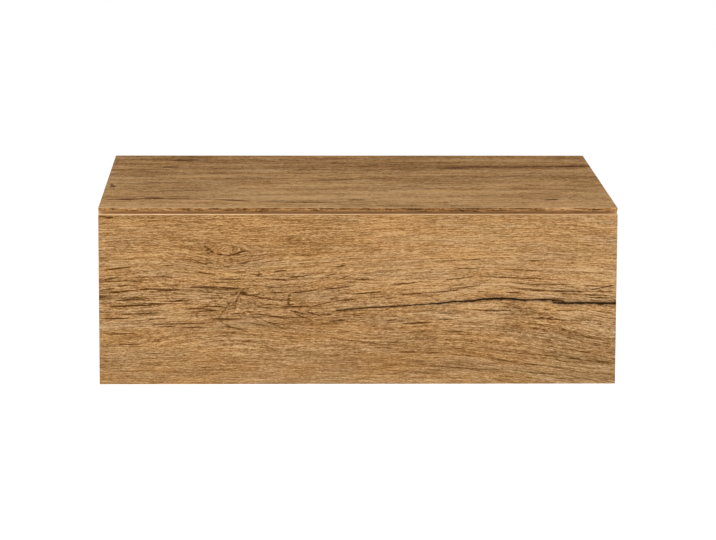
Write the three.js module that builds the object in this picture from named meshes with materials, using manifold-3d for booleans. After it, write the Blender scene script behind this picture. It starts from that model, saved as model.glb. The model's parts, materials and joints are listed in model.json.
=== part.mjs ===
// Wall-hung nightstand with one push-to-open drawer.
// Lengths are in millimetres. X runs to the right, Y runs back to the wall and Z runs up.
// The group's origin is the middle of the wall cleat's rear face, which lies on the wall.
// Inside the cabinet group, Y = 0 is the wall and Z = 0 is the underside of the cabinet.

import * as THREE from "three";
import { mergeVertices } from "three/addons/utils/BufferGeometryUtils.js";
import Module from "manifold-3d";

const wasm = await Module();
wasm.setup();

// Overall size
const WIDTH = 460;
const DEPTH = 350;
const HEIGHT = 159;

// Boards
const BOARD = 16;
const DRAWER_BOARD = 12;
const DRAWER_BASE_BOARD = 3;
const EDGE_BAND = 0.6;
const GLUE_LINE = 0.1;

// Gaps that show or that the motion needs
const REVEAL = 5.5;
const PUSH_GAP = 3.5;
const SLIDE_SPACE = 13;
const TRAVEL_RESERVE = 20;

// Clearances and cutters
const FIT = 0.3;
const CUT_OVERRUN = 1;

// Drawer box
const DRAWER_REAR_GAP = 10.5;
const DRAWER_HEADROOM = 16;
const DRAWER_LIFT = 16;
const GROOVE_DEPTH = 6;
const GROOVE_HEIGHT = 8;
const BACK_HOUSING = 4;

// Wall and cabinet cleats
const CLEAT_THICKNESS = 3;
const CLEAT_FIT = 0.5;
const CLEAT_FLANGE = 20;
const CLEAT_HOOK = 14;
const CLEAT_END_GAP = 44;
const CLEAT_DROP = 4;
const CLEAT_SCREW_INSET = 20;
const WALL_HOLE_INSET = 40;
const WALL_HOLE_RADIUS = 2.75;

// Cam fittings of the cabinet
const CAM_RADIUS = 7.5;
const CAM_HEIGHT = 12.5;
const CAM_SETBACK = 24;
const CAM_INSET = 40;
const BOLT_THREAD_LENGTH = 11;
const BOLT_COLLAR_RADIUS = 3.5;
const BOLT_HEAD_RADIUS = 3.3;
const BOLT_NECK_RADIUS = 2;

// Cam fittings of the drawer front
const DRAWER_CAM_RADIUS = 6;
const DRAWER_CAM_HEIGHT = 9.5;
const DRAWER_CAM_SETBACK = 20;
const DRAWER_BOLT_THREAD_LENGTH = 10;
const DRAWER_BOLT_COLLAR_RADIUS = 2.8;
const DRAWER_BOLT_HEAD_RADIUS = 2.5;
const DRAWER_BOLT_NECK_RADIUS = 1.5;

// Dowels
const DOWEL_RADIUS = 4;
const DOWEL_LENGTH = 30;
const DOWEL_CHAMFER = 1;
const DOWEL_INSET = 60;
const BACK_DOWEL_INSET = 26;

// Countersunk screws
const SCREW_HEAD_RADIUS = 3.5;
const SCREW_SHANK_RADIUS = 1.8;
const SCREW_HEAD_HEIGHT = 1.2;
const SCREW_TIP = 2.5;
const CROSS_WIDTH = 0.9;
const CROSS_DEPTH = 0.9;
const CABINET_SCREW_LENGTH = 13;
const DRAWER_SCREW_LENGTH = 10;
const SLIDE_SCREW_INSET = 36;

// Ball-bearing slides, in section
const SLIDE_HEIGHT = 45;
const SLIDE_THICKNESS = 12.7;
const SLIDE_STEEL = 1.2;
const SLIDE_SETBACK = 2;
const SLIDE_REAR_GAP = 5;
const CAGE_STRIP = 0.8;
const CAGE_RESERVE = 10;
const CAGE_BRIDGE = 7;
const CAGE_MARGIN = 8;
const OUTER_BALL_RADIUS = 1.5;
const INNER_BALL_RADIUS = 1.2;
const BALL_INSET = 12;

// Push-to-open latch
const LATCH_LENGTH = 62;
const LATCH_WIDTH = 18;
const LATCH_HEIGHT = 13;
const LATCH_SETBACK = 3;
const LATCH_END_WALL = 4;
const LATCH_EAR_WIDTH = 10;
const LATCH_EAR_LENGTH = 14;
const LATCH_EAR_THICKNESS = 3;
const LATCH_SCREW_LENGTH = 12;
const PLUNGER_RADIUS = 4;
const PLUNGER_LENGTH = 40;
const MAGNET_RADIUS = 3;
const MAGNET_THICKNESS = 3;
const STRIKE_SIZE = 16;
const STRIKE_THICKNESS = 1;
const SPRING_RADIUS = 2.9;
const SPRING_WIRE = 0.7;
const SPRING_TURNS = 7;

// Facets
const ROUND_SIDES = 16;
const SCREW_SIDES = 8;
const BALL_SIDES = 6;
const SPRING_STEPS_PER_TURN = 8;
const SPRING_SIDES = 5;

// Heights above the cabinet's underside
const topUnderside = HEIGHT - BOARD;
const frontTop = HEIGHT - REVEAL;
const drawerBoxBottom = BOARD + DRAWER_LIFT;
const drawerBoxTop = topUnderside - DRAWER_HEADROOM;
const slideMiddle = (drawerBoxBottom + drawerBoxTop) / 2;
const grooveBottom = drawerBoxBottom + GROOVE_HEIGHT;
const grooveTop = grooveBottom + DRAWER_BASE_BOARD + 2 * FIT;

// Places along Y, from the front to the wall
const frontFace = -DEPTH;
const frontBack = frontFace + BOARD;
const carcassFront = frontBack + PUSH_GAP;
const cleatStack = 2 * CLEAT_THICKNESS + 3 * CLEAT_FIT;
const backPanelRear = -cleatStack;
const backPanelFront = backPanelRear - BOARD;
const drawerRear = backPanelFront - DRAWER_REAR_GAP;
const slideFront = carcassFront + SLIDE_SETBACK;
const slideRear = backPanelFront - SLIDE_REAR_GAP;
const slideLength = slideRear - slideFront;
const drawerTravel = slideLength - TRAVEL_RESERVE;

// Half widths
const halfWidth = WIDTH / 2;
const innerHalf = halfWidth - BOARD;
const drawerOuterHalf = innerHalf - SLIDE_SPACE;
const drawerInnerHalf = drawerOuterHalf - DRAWER_BOARD;
const slidePlay = (SLIDE_SPACE - SLIDE_THICKNESS) / 2;

// Lengths and heights of the cleats
const cleatLength = 2 * (innerHalf - CLEAT_END_GAP);
const cleatScrewX = cleatLength / 2 - CLEAT_SCREW_INSET;
const wallHoleX = cleatLength / 2 - WALL_HOLE_INSET;
const cleatLift = CLEAT_FLANGE + CLEAT_HOOK + CLEAT_FIT;
const cabinetCleatMiddle = topUnderside - CLEAT_DROP - CLEAT_FLANGE / 2;
const wallCleatMiddle = cabinetCleatMiddle - cleatLift;

// Finishes
const oak = new THREE.MeshStandardMaterial({ color: 0xb18655, roughness: 0.55 });
const oakEdge = new THREE.MeshStandardMaterial({ color: 0xdcb285, roughness: 0.5 });
const melamine = new THREE.MeshStandardMaterial({ color: 0xd9d6cf, roughness: 0.5 });
const beech = new THREE.MeshStandardMaterial({ color: 0xcda873, roughness: 0.7 });
const aluminium = new THREE.MeshStandardMaterial({ color: 0xc4c6c8, roughness: 0.35, metalness: 1 });
const zinc = new THREE.MeshStandardMaterial({ color: 0xb9bcbd, roughness: 0.35, metalness: 1 });
const castZinc = new THREE.MeshStandardMaterial({ color: 0x9fa2a4, roughness: 0.5, metalness: 1 });
const latchPlastic = new THREE.MeshStandardMaterial({ color: 0xe6e6e3, roughness: 0.45 });
const plungerPlastic = new THREE.MeshStandardMaterial({ color: 0x8d9093, roughness: 0.5 });
const nickel = new THREE.MeshStandardMaterial({ color: 0xbfbdb8, roughness: 0.25, metalness: 1 });

// Turns a closed geometry into a solid that can be joined and cut.
function solidFrom(geometry) {
  const bare = geometry.clone();
  bare.deleteAttribute("normal");
  bare.deleteAttribute("uv");
  const merged = mergeVertices(bare);
  const corners = merged.index.array;
  const kept = [];
  for (let i = 0; i < corners.length; i += 3) {
    const [a, b, c] = corners.slice(i, i + 3);
    if (a !== b && b !== c && c !== a) {
      kept.push(a, b, c);
    }
  }
  const vertProperties = new Float32Array(merged.attributes.position.array);
  const triVerts = new Uint32Array(kept);
  return new wasm.Manifold(new wasm.Mesh({ numProp: 3, vertProperties, triVerts }));
}

// Turns a solid back into a geometry with flat shading.
function geometryFrom(solid) {
  const result = solid.getMesh();
  const indexed = new THREE.BufferGeometry();
  indexed.setAttribute("position", new THREE.BufferAttribute(result.vertProperties, 3));
  indexed.setIndex(new THREE.BufferAttribute(result.triVerts, 1));
  const flat = indexed.toNonIndexed();
  flat.computeVertexNormals();
  return flat;
}

function shapeFrom(outline) {
  return new THREE.Shape(outline.map(([a, b]) => new THREE.Vector2(a, b)));
}

// A prism along X, Y or Z. Its outline is given in the other two axes, in X, Y, Z order.
function prism(axis, outline, from, to) {
  const geometry = new THREE.ExtrudeGeometry(shapeFrom(outline), { depth: 1, bevelEnabled: false });
  const places = geometry.attributes.position;
  for (let i = 0; i < places.count; i += 1) {
    const a = places.getX(i);
    const b = places.getY(i);
    const far = places.getZ(i) > 0.5;
    if (axis === "x") {
      places.setXYZ(i, far ? to : from, a, b);
    } else if (axis === "y") {
      places.setXYZ(i, a, far ? from : to, b);
    } else {
      places.setXYZ(i, a, b, far ? to : from);
    }
  }
  return solidFrom(geometry);
}

function rectangle([a0, a1], [b0, b1]) {
  return [
    [a0, b0],
    [a1, b0],
    [a1, b1],
    [a0, b1],
  ];
}

function box(x, y, z) {
  return prism("z", rectangle(x, y), z[0], z[1]);
}

// A turned solid about its own Z axis. The profile lists [height, radius] from low to high.
function turned(profile, facets) {
  const points = profile.map(([height, radius]) => new THREE.Vector2(radius, height));
  const low = new THREE.Vector2(0, profile[0][0]);
  const high = new THREE.Vector2(0, profile[profile.length - 1][0]);
  const geometry = new THREE.LatheGeometry([low, ...points, high], facets);
  geometry.rotateX(Math.PI / 2);
  return solidFrom(geometry);
}

// A round hole cutter whose axis runs along X, Y or Z from one place to another.
function hole(axis, centre, radius, from, to) {
  const outline = [];
  for (let i = 0; i < ROUND_SIDES; i += 1) {
    const angle = (2 * Math.PI * i) / ROUND_SIDES;
    outline.push([centre[0] + radius * Math.cos(angle), centre[1] + radius * Math.sin(angle)]);
  }
  return prism(axis, outline, from, to);
}

function cutAll(solid, cutters) {
  return cutters.reduce((rest, cutter) => rest.subtract(cutter), solid);
}

function mesh(name, solid, material) {
  const piece = new THREE.Mesh(geometryFrom(solid), material);
  piece.name = name;
  return piece;
}

// A direction square to the given one, which lies along X, Y or Z.
function squareTo([x, y, z]) {
  return [z, x, y];
}

// The turn that points a piece's own Z and X axes along the given directions.
function turnTo(zAxis, xAxis) {
  const z = new THREE.Vector3(...zAxis);
  const x = new THREE.Vector3(...xAxis);
  const y = z.clone().cross(x);
  return new THREE.Matrix4().makeBasis(x, y, z);
}

function placed(piece, place, zAxis, xAxis = squareTo(zAxis)) {
  piece.position.set(...place);
  piece.quaternion.setFromRotationMatrix(turnTo(zAxis, xAxis));
  return piece;
}

// Moves a cutter to a place, with its own Z axis along the given direction.
function cutterAt(solid, place, zAxis) {
  const matrix = turnTo(zAxis, squareTo(zAxis)).setPosition(...place);
  return solid.transform(matrix.elements);
}

const sides = [
  { word: "left", sign: -1 },
  { word: "right", sign: 1 },
];

// Orders two places so that the lower one comes first.
function span(a, b) {
  return [Math.min(a, b), Math.max(a, b)];
}

// Cam lock: a disc that turns in the board's face, open at its rim for the bolt's head.
// Its own Z = 0 is the board's face, and the bolt comes in along its own X.
function camLock(radius, height, boardThickness, headRadius) {
  const disc = turned([[-height, radius], [0, radius]], ROUND_SIDES);
  const channelHalf = headRadius + FIT;
  const channelMiddle = -boardThickness / 2;
  const channel = box(
    [-channelHalf, radius + CUT_OVERRUN],
    [-channelHalf, channelHalf],
    [channelMiddle - channelHalf, channelMiddle + channelHalf],
  );
  const slotShare = 0.62;
  const slotHalf = radius * slotShare;
  const slotDepth = -CROSS_DEPTH;
  const lengthwise = box([-slotHalf, slotHalf], [-CROSS_WIDTH, CROSS_WIDTH], [slotDepth, CUT_OVERRUN]);
  const crosswise = box([-CROSS_WIDTH, CROSS_WIDTH], [-slotHalf, slotHalf], [slotDepth, CUT_OVERRUN]);
  return cutAll(disc, [channel, lengthwise, crosswise]);
}

const threadShare = 0.8;

// Cam bolt: its own Z = 0 is where the two boards meet, and its head ends in the cam.
function camBolt(threadLength, setback, collarRadius, headRadius, neckRadius) {
  const collarShare = 0.5;
  const collarEnd = setback * collarShare;
  const headStart = setback - headRadius / 2;
  const headEnd = setback + headRadius / 2;
  const threadRadius = collarRadius * threadShare;
  const profile = [
    [-threadLength, threadRadius * threadShare],
    [-threadLength + threadRadius, threadRadius],
    [0, threadRadius],
    [FIT, collarRadius],
    [collarEnd, collarRadius],
    [collarEnd + neckRadius, neckRadius],
    [headStart - neckRadius, neckRadius],
    [headStart, headRadius],
    [headEnd, headRadius],
  ];
  return turned(profile, SCREW_SIDES);
}

// Countersunk screw: its own Z = 0 is the head's flat face, and its tip points down.
function screw(length) {
  const headBottom = -SCREW_HEAD_HEIGHT;
  const pointShare = 0.25;
  const profile = [
    [-length, SCREW_SHANK_RADIUS * pointShare],
    [-length + SCREW_TIP, SCREW_SHANK_RADIUS],
    [headBottom, SCREW_SHANK_RADIUS],
    [0, SCREW_HEAD_RADIUS],
  ];
  const armShare = 0.5;
  const arm = SCREW_HEAD_RADIUS * armShare;
  const half = CROSS_WIDTH / 2;
  const lengthwise = box([-arm, arm], [-half, half], [-CROSS_DEPTH, CUT_OVERRUN]);
  const crosswise = box([-half, half], [-arm, arm], [-CROSS_DEPTH, CUT_OVERRUN]);
  return cutAll(turned(profile, SCREW_SIDES), [lengthwise, crosswise]);
}

// The room that a countersunk screw takes, about the same axes as the screw.
function screwRoom(length) {
  const profile = [
    [-length - FIT, SCREW_SHANK_RADIUS + FIT],
    [-SCREW_HEAD_HEIGHT - FIT, SCREW_SHANK_RADIUS + FIT],
    [0, SCREW_HEAD_RADIUS + FIT],
    [CUT_OVERRUN, SCREW_HEAD_RADIUS + FIT],
  ];
  return turned(profile, ROUND_SIDES);
}

// Places that several pieces share

const camPlaces = [
  { word: "front", y: carcassFront + CAM_INSET },
  { word: "rear", y: -CAM_INSET },
];

const dowelPlaces = [
  { word: "front", y: carcassFront + DOWEL_INSET },
  { word: "rear", y: -DOWEL_INSET },
];

const backDowelPlaces = [
  { word: "lower", z: BOARD + BACK_DOWEL_INSET },
  { word: "upper", z: topUnderside - BACK_DOWEL_INSET },
];

const slideScrewPlaces = [
  { word: "front", y: slideFront + SLIDE_SCREW_INSET },
  { word: "rear", y: slideRear - SLIDE_SCREW_INSET },
];

const boltX = innerHalf + BOARD / 2;
const camHeight = topUnderside - CAM_SETBACK;
const backPanelMiddle = (backPanelFront + backPanelRear) / 2;
const dowelInSideShare = 1 / 3;
const dowelInSide = DOWEL_LENGTH * dowelInSideShare;
const dowelInPanel = DOWEL_LENGTH - dowelInSide;

// Cabinet boards

function topPanel() {
  const section = [
    [frontFace, HEIGHT],
    [frontBack, topUnderside],
    [0, topUnderside],
    [0, HEIGHT],
  ];
  const board = prism("x", section, -halfWidth, halfWidth);
  const threadTop = topUnderside + BOLT_THREAD_LENGTH + FIT;
  const cutters = [];
  for (const side of sides) {
    for (const cam of camPlaces) {
      const centre = [side.sign * boltX, cam.y];
      const radius = BOLT_COLLAR_RADIUS * threadShare + FIT;
      cutters.push(hole("z", centre, radius, topUnderside - CUT_OVERRUN, threadTop));
    }
  }
  return mesh("top_panel", cutAll(board, cutters), oak);
}

function dowelHoleInPanel(side, axisPlace) {
  const ends = [innerHalf - dowelInPanel - FIT, innerHalf + CUT_OVERRUN];
  const [from, to] = span(side.sign * ends[0], side.sign * ends[1]);
  return hole("x", axisPlace, DOWEL_RADIUS + FIT, from, to);
}

function dowelHoleInSide(side, axisPlace) {
  const ends = [innerHalf - CUT_OVERRUN, innerHalf + dowelInSide + FIT];
  const [from, to] = span(side.sign * ends[0], side.sign * ends[1]);
  return hole("x", axisPlace, DOWEL_RADIUS + FIT, from, to);
}

function bottomPanel() {
  const board = box([-innerHalf, innerHalf], [carcassFront, 0], [0, BOARD]);
  const cutters = [];
  for (const side of sides) {
    for (const dowel of dowelPlaces) {
      cutters.push(dowelHoleInPanel(side, [dowel.y, BOARD / 2]));
    }
    cutters.push(latchScrewRoom(side));
  }
  return mesh("bottom_panel", cutAll(board, cutters), oak);
}

function backPanel() {
  const board = box([-innerHalf, innerHalf], [backPanelFront, backPanelRear], [BOARD, topUnderside]);
  const cutters = [];
  for (const side of sides) {
    for (const dowel of backDowelPlaces) {
      cutters.push(dowelHoleInPanel(side, [backPanelMiddle, dowel.z]));
    }
    const screwPlace = [side.sign * cleatScrewX, cleatScrewFace, cabinetCleatMiddle];
    cutters.push(cutterAt(screwRoom(CABINET_SCREW_LENGTH), screwPlace, [0, 1, 0]));
  }
  return mesh("back_panel", cutAll(board, cutters), melamine);
}

function sidePanel(side) {
  const [x0, x1] = span(side.sign * innerHalf, side.sign * halfWidth);
  const board = box([x0, x1], [carcassFront, 0], [0, topUnderside]);
  const cutters = [];
  for (const cam of camPlaces) {
    const camFloor = side.sign * (innerHalf + CAM_HEIGHT + FIT);
    const [from, to] = span(side.sign * (innerHalf - CUT_OVERRUN), camFloor);
    cutters.push(hole("x", [cam.y, camHeight], CAM_RADIUS + FIT, from, to));
    const boltCentre = [side.sign * boltX, cam.y];
    const boltTop = topUnderside + CUT_OVERRUN;
    cutters.push(hole("z", boltCentre, BOLT_COLLAR_RADIUS + FIT, camHeight, boltTop));
  }
  for (const dowel of dowelPlaces) {
    cutters.push(dowelHoleInSide(side, [dowel.y, BOARD / 2]));
  }
  for (const dowel of backDowelPlaces) {
    cutters.push(dowelHoleInSide(side, [backPanelMiddle, dowel.z]));
  }
  for (const screwPlace of slideScrewPlaces) {
    const face = [side.sign * (innerHalf - slidePlay - SLIDE_STEEL), screwPlace.y, slideMiddle];
    cutters.push(cutterAt(screwRoom(CABINET_SCREW_LENGTH), face, [-side.sign, 0, 0]));
  }
  return mesh(`${side.word}_side_panel`, cutAll(board, cutters), oak);
}

// Joints of the cabinet

function camFittings(side, cam) {
  const inwards = [-side.sign, 0, 0];
  const lock = mesh(
    `top_cam_lock_${side.word}_${cam.word}`,
    camLock(CAM_RADIUS, CAM_HEIGHT, BOARD, BOLT_HEAD_RADIUS),
    castZinc,
  );
  // The opening in the rim points up, towards the bolt.
  placed(lock, [side.sign * innerHalf, cam.y, camHeight], inwards, [0, 0, 1]);
  const bolt = mesh(
    `top_cam_bolt_${side.word}_${cam.word}`,
    camBolt(BOLT_THREAD_LENGTH, CAM_SETBACK, BOLT_COLLAR_RADIUS, BOLT_HEAD_RADIUS, BOLT_NECK_RADIUS),
    zinc,
  );
  placed(bolt, [side.sign * boltX, cam.y, topUnderside], [0, 0, -1]);
  return [lock, bolt];
}

function dowel(name, place, side) {
  const profile = [
    [-dowelInPanel, DOWEL_RADIUS - DOWEL_CHAMFER],
    [-dowelInPanel + DOWEL_CHAMFER, DOWEL_RADIUS],
    [dowelInSide - DOWEL_CHAMFER, DOWEL_RADIUS],
    [dowelInSide, DOWEL_RADIUS - DOWEL_CHAMFER],
  ];
  return placed(mesh(name, turned(profile, SCREW_SIDES), beech), place, [side.sign, 0, 0]);
}

function sideDowels(side) {
  const x = side.sign * innerHalf;
  const bottom = dowelPlaces.map((place) =>
    dowel(`bottom_dowel_${side.word}_${place.word}`, [x, place.y, BOARD / 2], side),
  );
  const back = backDowelPlaces.map((place) =>
    dowel(`back_dowel_${side.word}_${place.word}`, [x, backPanelMiddle, place.z], side),
  );
  return [...bottom, ...back];
}

// Cleats
// Both cleats have one Z-shaped section: a flat flange, a web and a hook flange.
// The wall cleat's hook points up, and the cabinet cleat is the same bar turned over.

const cleatScrewFace = backPanelRear + CLEAT_THICKNESS;

function cleatBar() {
  const flangeHalf = CLEAT_FLANGE / 2;
  const slot = CLEAT_THICKNESS + 2 * CLEAT_FIT;
  const section = [
    [0, -flangeHalf],
    [0, flangeHalf],
    [-slot, flangeHalf],
    [-slot, flangeHalf + CLEAT_HOOK],
    [-slot - CLEAT_THICKNESS, flangeHalf + CLEAT_HOOK],
    [-slot - CLEAT_THICKNESS, flangeHalf - CLEAT_THICKNESS],
    [-CLEAT_THICKNESS, flangeHalf - CLEAT_THICKNESS],
    [-CLEAT_THICKNESS, -flangeHalf],
  ];
  return prism("x", section, -cleatLength / 2, cleatLength / 2);
}

function wallCleat() {
  const holes = sides.map((side) => {
    const centre = [side.sign * wallHoleX, 0];
    return hole("y", centre, WALL_HOLE_RADIUS, -CLEAT_THICKNESS - CUT_OVERRUN, CUT_OVERRUN);
  });
  const piece = mesh("wall_cleat", cutAll(cleatBar(), holes), aluminium);
  piece.position.z = wallCleatMiddle;
  return piece;
}

function cabinetCleat() {
  const holes = sides.map((side) => {
    const place = [side.sign * cleatScrewX, -CLEAT_THICKNESS, 0];
    return cutterAt(screwRoom(CABINET_SCREW_LENGTH), place, [0, -1, 0]);
  });
  const piece = mesh("cabinet_cleat", cutAll(cleatBar(), holes), aluminium);
  piece.position.set(0, backPanelRear, cabinetCleatMiddle);
  piece.rotation.x = Math.PI;
  return piece;
}

function cleatScrew(side) {
  const piece = mesh(`cleat_screw_${side.word}`, screw(CABINET_SCREW_LENGTH), zinc);
  const x = side.sign * cleatScrewX;
  return placed(piece, [x, cleatScrewFace, cabinetCleatMiddle], [0, 1, 0]);
}

// Drawer box

const drawerCamHeight = slideMiddle;
const drawerBoltX = (drawerOuterHalf + drawerInnerHalf) / 2;
const bandDrop = EDGE_BAND * Math.SQRT2;
const boardDrop = (EDGE_BAND + GLUE_LINE) * Math.SQRT2;

function drawerFront() {
  const edge = frontTop - boardDrop;
  const section = [
    [frontFace, 0],
    [frontBack, 0],
    [frontBack, edge - BOARD],
    [frontFace, edge],
  ];
  const board = prism("x", section, -halfWidth, halfWidth);
  const groove = box(
    [-drawerInnerHalf - GROOVE_DEPTH, drawerInnerHalf + GROOVE_DEPTH],
    [frontBack - GROOVE_DEPTH, frontBack + CUT_OVERRUN],
    [grooveBottom, grooveTop],
  );
  const cutters = [groove];
  for (const side of sides) {
    const centre = [side.sign * drawerBoltX, drawerCamHeight];
    const radius = DRAWER_BOLT_COLLAR_RADIUS * threadShare + FIT;
    const threadEnd = frontBack - DRAWER_BOLT_THREAD_LENGTH - FIT;
    cutters.push(hole("y", centre, radius, threadEnd, frontBack + CUT_OVERRUN));
  }
  return mesh("drawer_front", cutAll(board, cutters), oak);
}

function drawerFrontEdgeBand() {
  const section = [
    [frontFace, frontTop - bandDrop],
    [frontBack, frontTop - BOARD - bandDrop],
    [frontBack, frontTop - BOARD],
    [frontFace, frontTop],
  ];
  return mesh("drawer_front_edge_band", prism("x", section, -halfWidth, halfWidth), oakEdge);
}

function drawerSide(side) {
  const [x0, x1] = span(side.sign * drawerInnerHalf, side.sign * drawerOuterHalf);
  const board = box([x0, x1], [frontBack, drawerRear], [drawerBoxBottom, drawerBoxTop]);
  const [grooveFrom, grooveTo] = span(
    side.sign * (drawerInnerHalf - CUT_OVERRUN),
    side.sign * (drawerInnerHalf + GROOVE_DEPTH),
  );
  const grooveEnds = [frontBack - CUT_OVERRUN, drawerRear + CUT_OVERRUN];
  const groove = box([grooveFrom, grooveTo], grooveEnds, [grooveBottom, grooveTop]);
  const [housingFrom, housingTo] = span(
    side.sign * (drawerInnerHalf - CUT_OVERRUN),
    side.sign * (drawerInnerHalf + BACK_HOUSING),
  );
  const housing = box(
    [housingFrom, housingTo],
    [drawerRear - DRAWER_BOARD - 2 * FIT, drawerRear + CUT_OVERRUN],
    [grooveBottom, drawerBoxTop + CUT_OVERRUN],
  );
  const camPlace = [frontBack + DRAWER_CAM_SETBACK, drawerCamHeight];
  const [camFrom, camTo] = span(
    side.sign * (drawerInnerHalf - CUT_OVERRUN),
    side.sign * (drawerInnerHalf + DRAWER_CAM_HEIGHT + FIT),
  );
  const camHole = hole("x", camPlace, DRAWER_CAM_RADIUS + FIT, camFrom, camTo);
  const boltCentre = [side.sign * drawerBoltX, drawerCamHeight];
  const boltEnds = [frontBack - CUT_OVERRUN, frontBack + DRAWER_CAM_SETBACK];
  const boltHole = hole("y", boltCentre, DRAWER_BOLT_COLLAR_RADIUS + FIT, ...boltEnds);
  const cutters = [groove, housing, camHole, boltHole];
  for (const screwPlace of slideScrewPlaces) {
    const face = [side.sign * (drawerOuterHalf + slidePlay + SLIDE_STEEL), screwPlace.y, slideMiddle];
    cutters.push(cutterAt(screwRoom(DRAWER_SCREW_LENGTH), face, [side.sign, 0, 0]));
  }
  return mesh(`drawer_side_${side.word}`, cutAll(board, cutters), melamine);
}

function drawerBack() {
  const half = drawerInnerHalf + BACK_HOUSING - FIT;
  const y = [drawerRear - DRAWER_BOARD - FIT, drawerRear - FIT];
  return mesh("drawer_back", box([-half, half], y, [grooveTop, drawerBoxTop]), melamine);
}

function drawerBase() {
  const half = drawerInnerHalf + GROOVE_DEPTH - FIT;
  const y = [frontBack - GROOVE_DEPTH + FIT, drawerRear - FIT];
  return mesh("drawer_base", box([-half, half], y, [grooveBottom + FIT, grooveTop - FIT]), melamine);
}

function drawerCamFittings(side) {
  const lock = mesh(
    `drawer_cam_lock_${side.word}`,
    camLock(DRAWER_CAM_RADIUS, DRAWER_CAM_HEIGHT, DRAWER_BOARD, DRAWER_BOLT_HEAD_RADIUS),
    castZinc,
  );
  const lockPlace = [side.sign * drawerInnerHalf, frontBack + DRAWER_CAM_SETBACK, drawerCamHeight];
  // The opening in the rim points forwards, towards the bolt.
  placed(lock, lockPlace, [-side.sign, 0, 0], [0, -1, 0]);
  const bolt = mesh(
    `drawer_cam_bolt_${side.word}`,
    camBolt(
      DRAWER_BOLT_THREAD_LENGTH,
      DRAWER_CAM_SETBACK,
      DRAWER_BOLT_COLLAR_RADIUS,
      DRAWER_BOLT_HEAD_RADIUS,
      DRAWER_BOLT_NECK_RADIUS,
    ),
    zinc,
  );
  placed(bolt, [side.sign * drawerBoltX, frontBack, drawerCamHeight], [0, 1, 0]);
  return [lock, bolt];
}

// Ball-bearing slides
// The left slide's section is drawn from the cabinet's side panel at X = 0 towards the drawer.
// The slide is alike above and below its middle, so the right one is the left one turned over.
// Two rows of balls run between the members, each held by a cage.

const flangeOutside = SLIDE_HEIGHT / 2;
const outerRaceHigh = flangeOutside - SLIDE_STEEL;
const outerBallMiddle = outerRaceHigh - FIT - OUTER_BALL_RADIUS;
const middleOutside = outerBallMiddle - OUTER_BALL_RADIUS - FIT;
const middleInside = middleOutside - SLIDE_STEEL;
const innerBallMiddle = middleInside - FIT - INNER_BALL_RADIUS;
const innerOutside = innerBallMiddle - INNER_BALL_RADIUS - FIT;

const outerCageWeb = SLIDE_STEEL + FIT;
const middleWeb = outerCageWeb + CAGE_STRIP + FIT;
const innerCageWeb = middleWeb + SLIDE_STEEL + FIT;
const innerWeb = SLIDE_THICKNESS - SLIDE_STEEL;
const outerBallDepth = middleWeb + OUTER_BALL_RADIUS + FIT;
const innerBallDepth = innerWeb - INNER_BALL_RADIUS - 2 * FIT;
const innerFlangeEnd = innerCageWeb + CAGE_STRIP + 2 * FIT;

// A channel section with its web at one depth and its two flanges running to another.
function channelSection(web, flangeEnd, outside, thickness) {
  const webInner = web < flangeEnd ? web + thickness : web - thickness;
  const inside = outside - thickness;
  return [
    [web, -outside],
    [flangeEnd, -outside],
    [flangeEnd, -inside],
    [webInner, -inside],
    [webInner, inside],
    [flangeEnd, inside],
    [flangeEnd, outside],
    [web, outside],
  ];
}

// The outer member's flanges end in small lips that keep the balls in.
function outerMember() {
  const lipShare = 0.5;
  const lip = SLIDE_STEEL * lipShare;
  const flangeEnd = outerBallDepth + OUTER_BALL_RADIUS + SLIDE_STEEL + FIT;
  const lipStart = flangeEnd - SLIDE_STEEL;
  const section = [
    [0, -flangeOutside],
    [flangeEnd, -flangeOutside],
    [flangeEnd, -outerRaceHigh + lip],
    [lipStart, -outerRaceHigh + lip],
    [lipStart, -outerRaceHigh],
    [SLIDE_STEEL, -outerRaceHigh],
    [SLIDE_STEEL, outerRaceHigh],
    [lipStart, outerRaceHigh],
    [lipStart, outerRaceHigh - lip],
    [flangeEnd, outerRaceHigh - lip],
    [flangeEnd, flangeOutside],
    [0, flangeOutside],
  ];
  const bar = prism("y", section, 0, slideLength);
  const holes = slideScrewPlaces.map((place) =>
    cutterAt(screwRoom(CABINET_SCREW_LENGTH), [SLIDE_STEEL, place.y - slideFront, 0], [1, 0, 0]),
  );
  return cutAll(bar, holes);
}

function middleMember() {
  const flangeEnd = innerWeb - FIT;
  const section = channelSection(middleWeb, flangeEnd, middleOutside, SLIDE_STEEL);
  const bar = prism("y", section, 0, slideLength);
  // Holes in the web let a screwdriver through to the outer member's screws.
  const holes = slideScrewPlaces.map((place) =>
    hole(
      "x",
      [place.y - slideFront, 0],
      SCREW_HEAD_RADIUS + CROSS_WIDTH,
      middleWeb - CUT_OVERRUN,
      middleWeb + SLIDE_STEEL + CUT_OVERRUN,
    ),
  );
  return cutAll(bar, holes);
}

function innerMember() {
  const section = channelSection(SLIDE_THICKNESS, innerFlangeEnd, innerOutside, SLIDE_STEEL);
  const bar = prism("y", section, 0, slideLength);
  const holes = slideScrewPlaces.map((place) =>
    cutterAt(screwRoom(DRAWER_SCREW_LENGTH), [innerWeb, place.y - slideFront, 0], [-1, 0, 0]),
  );
  return cutAll(bar, holes);
}

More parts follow.
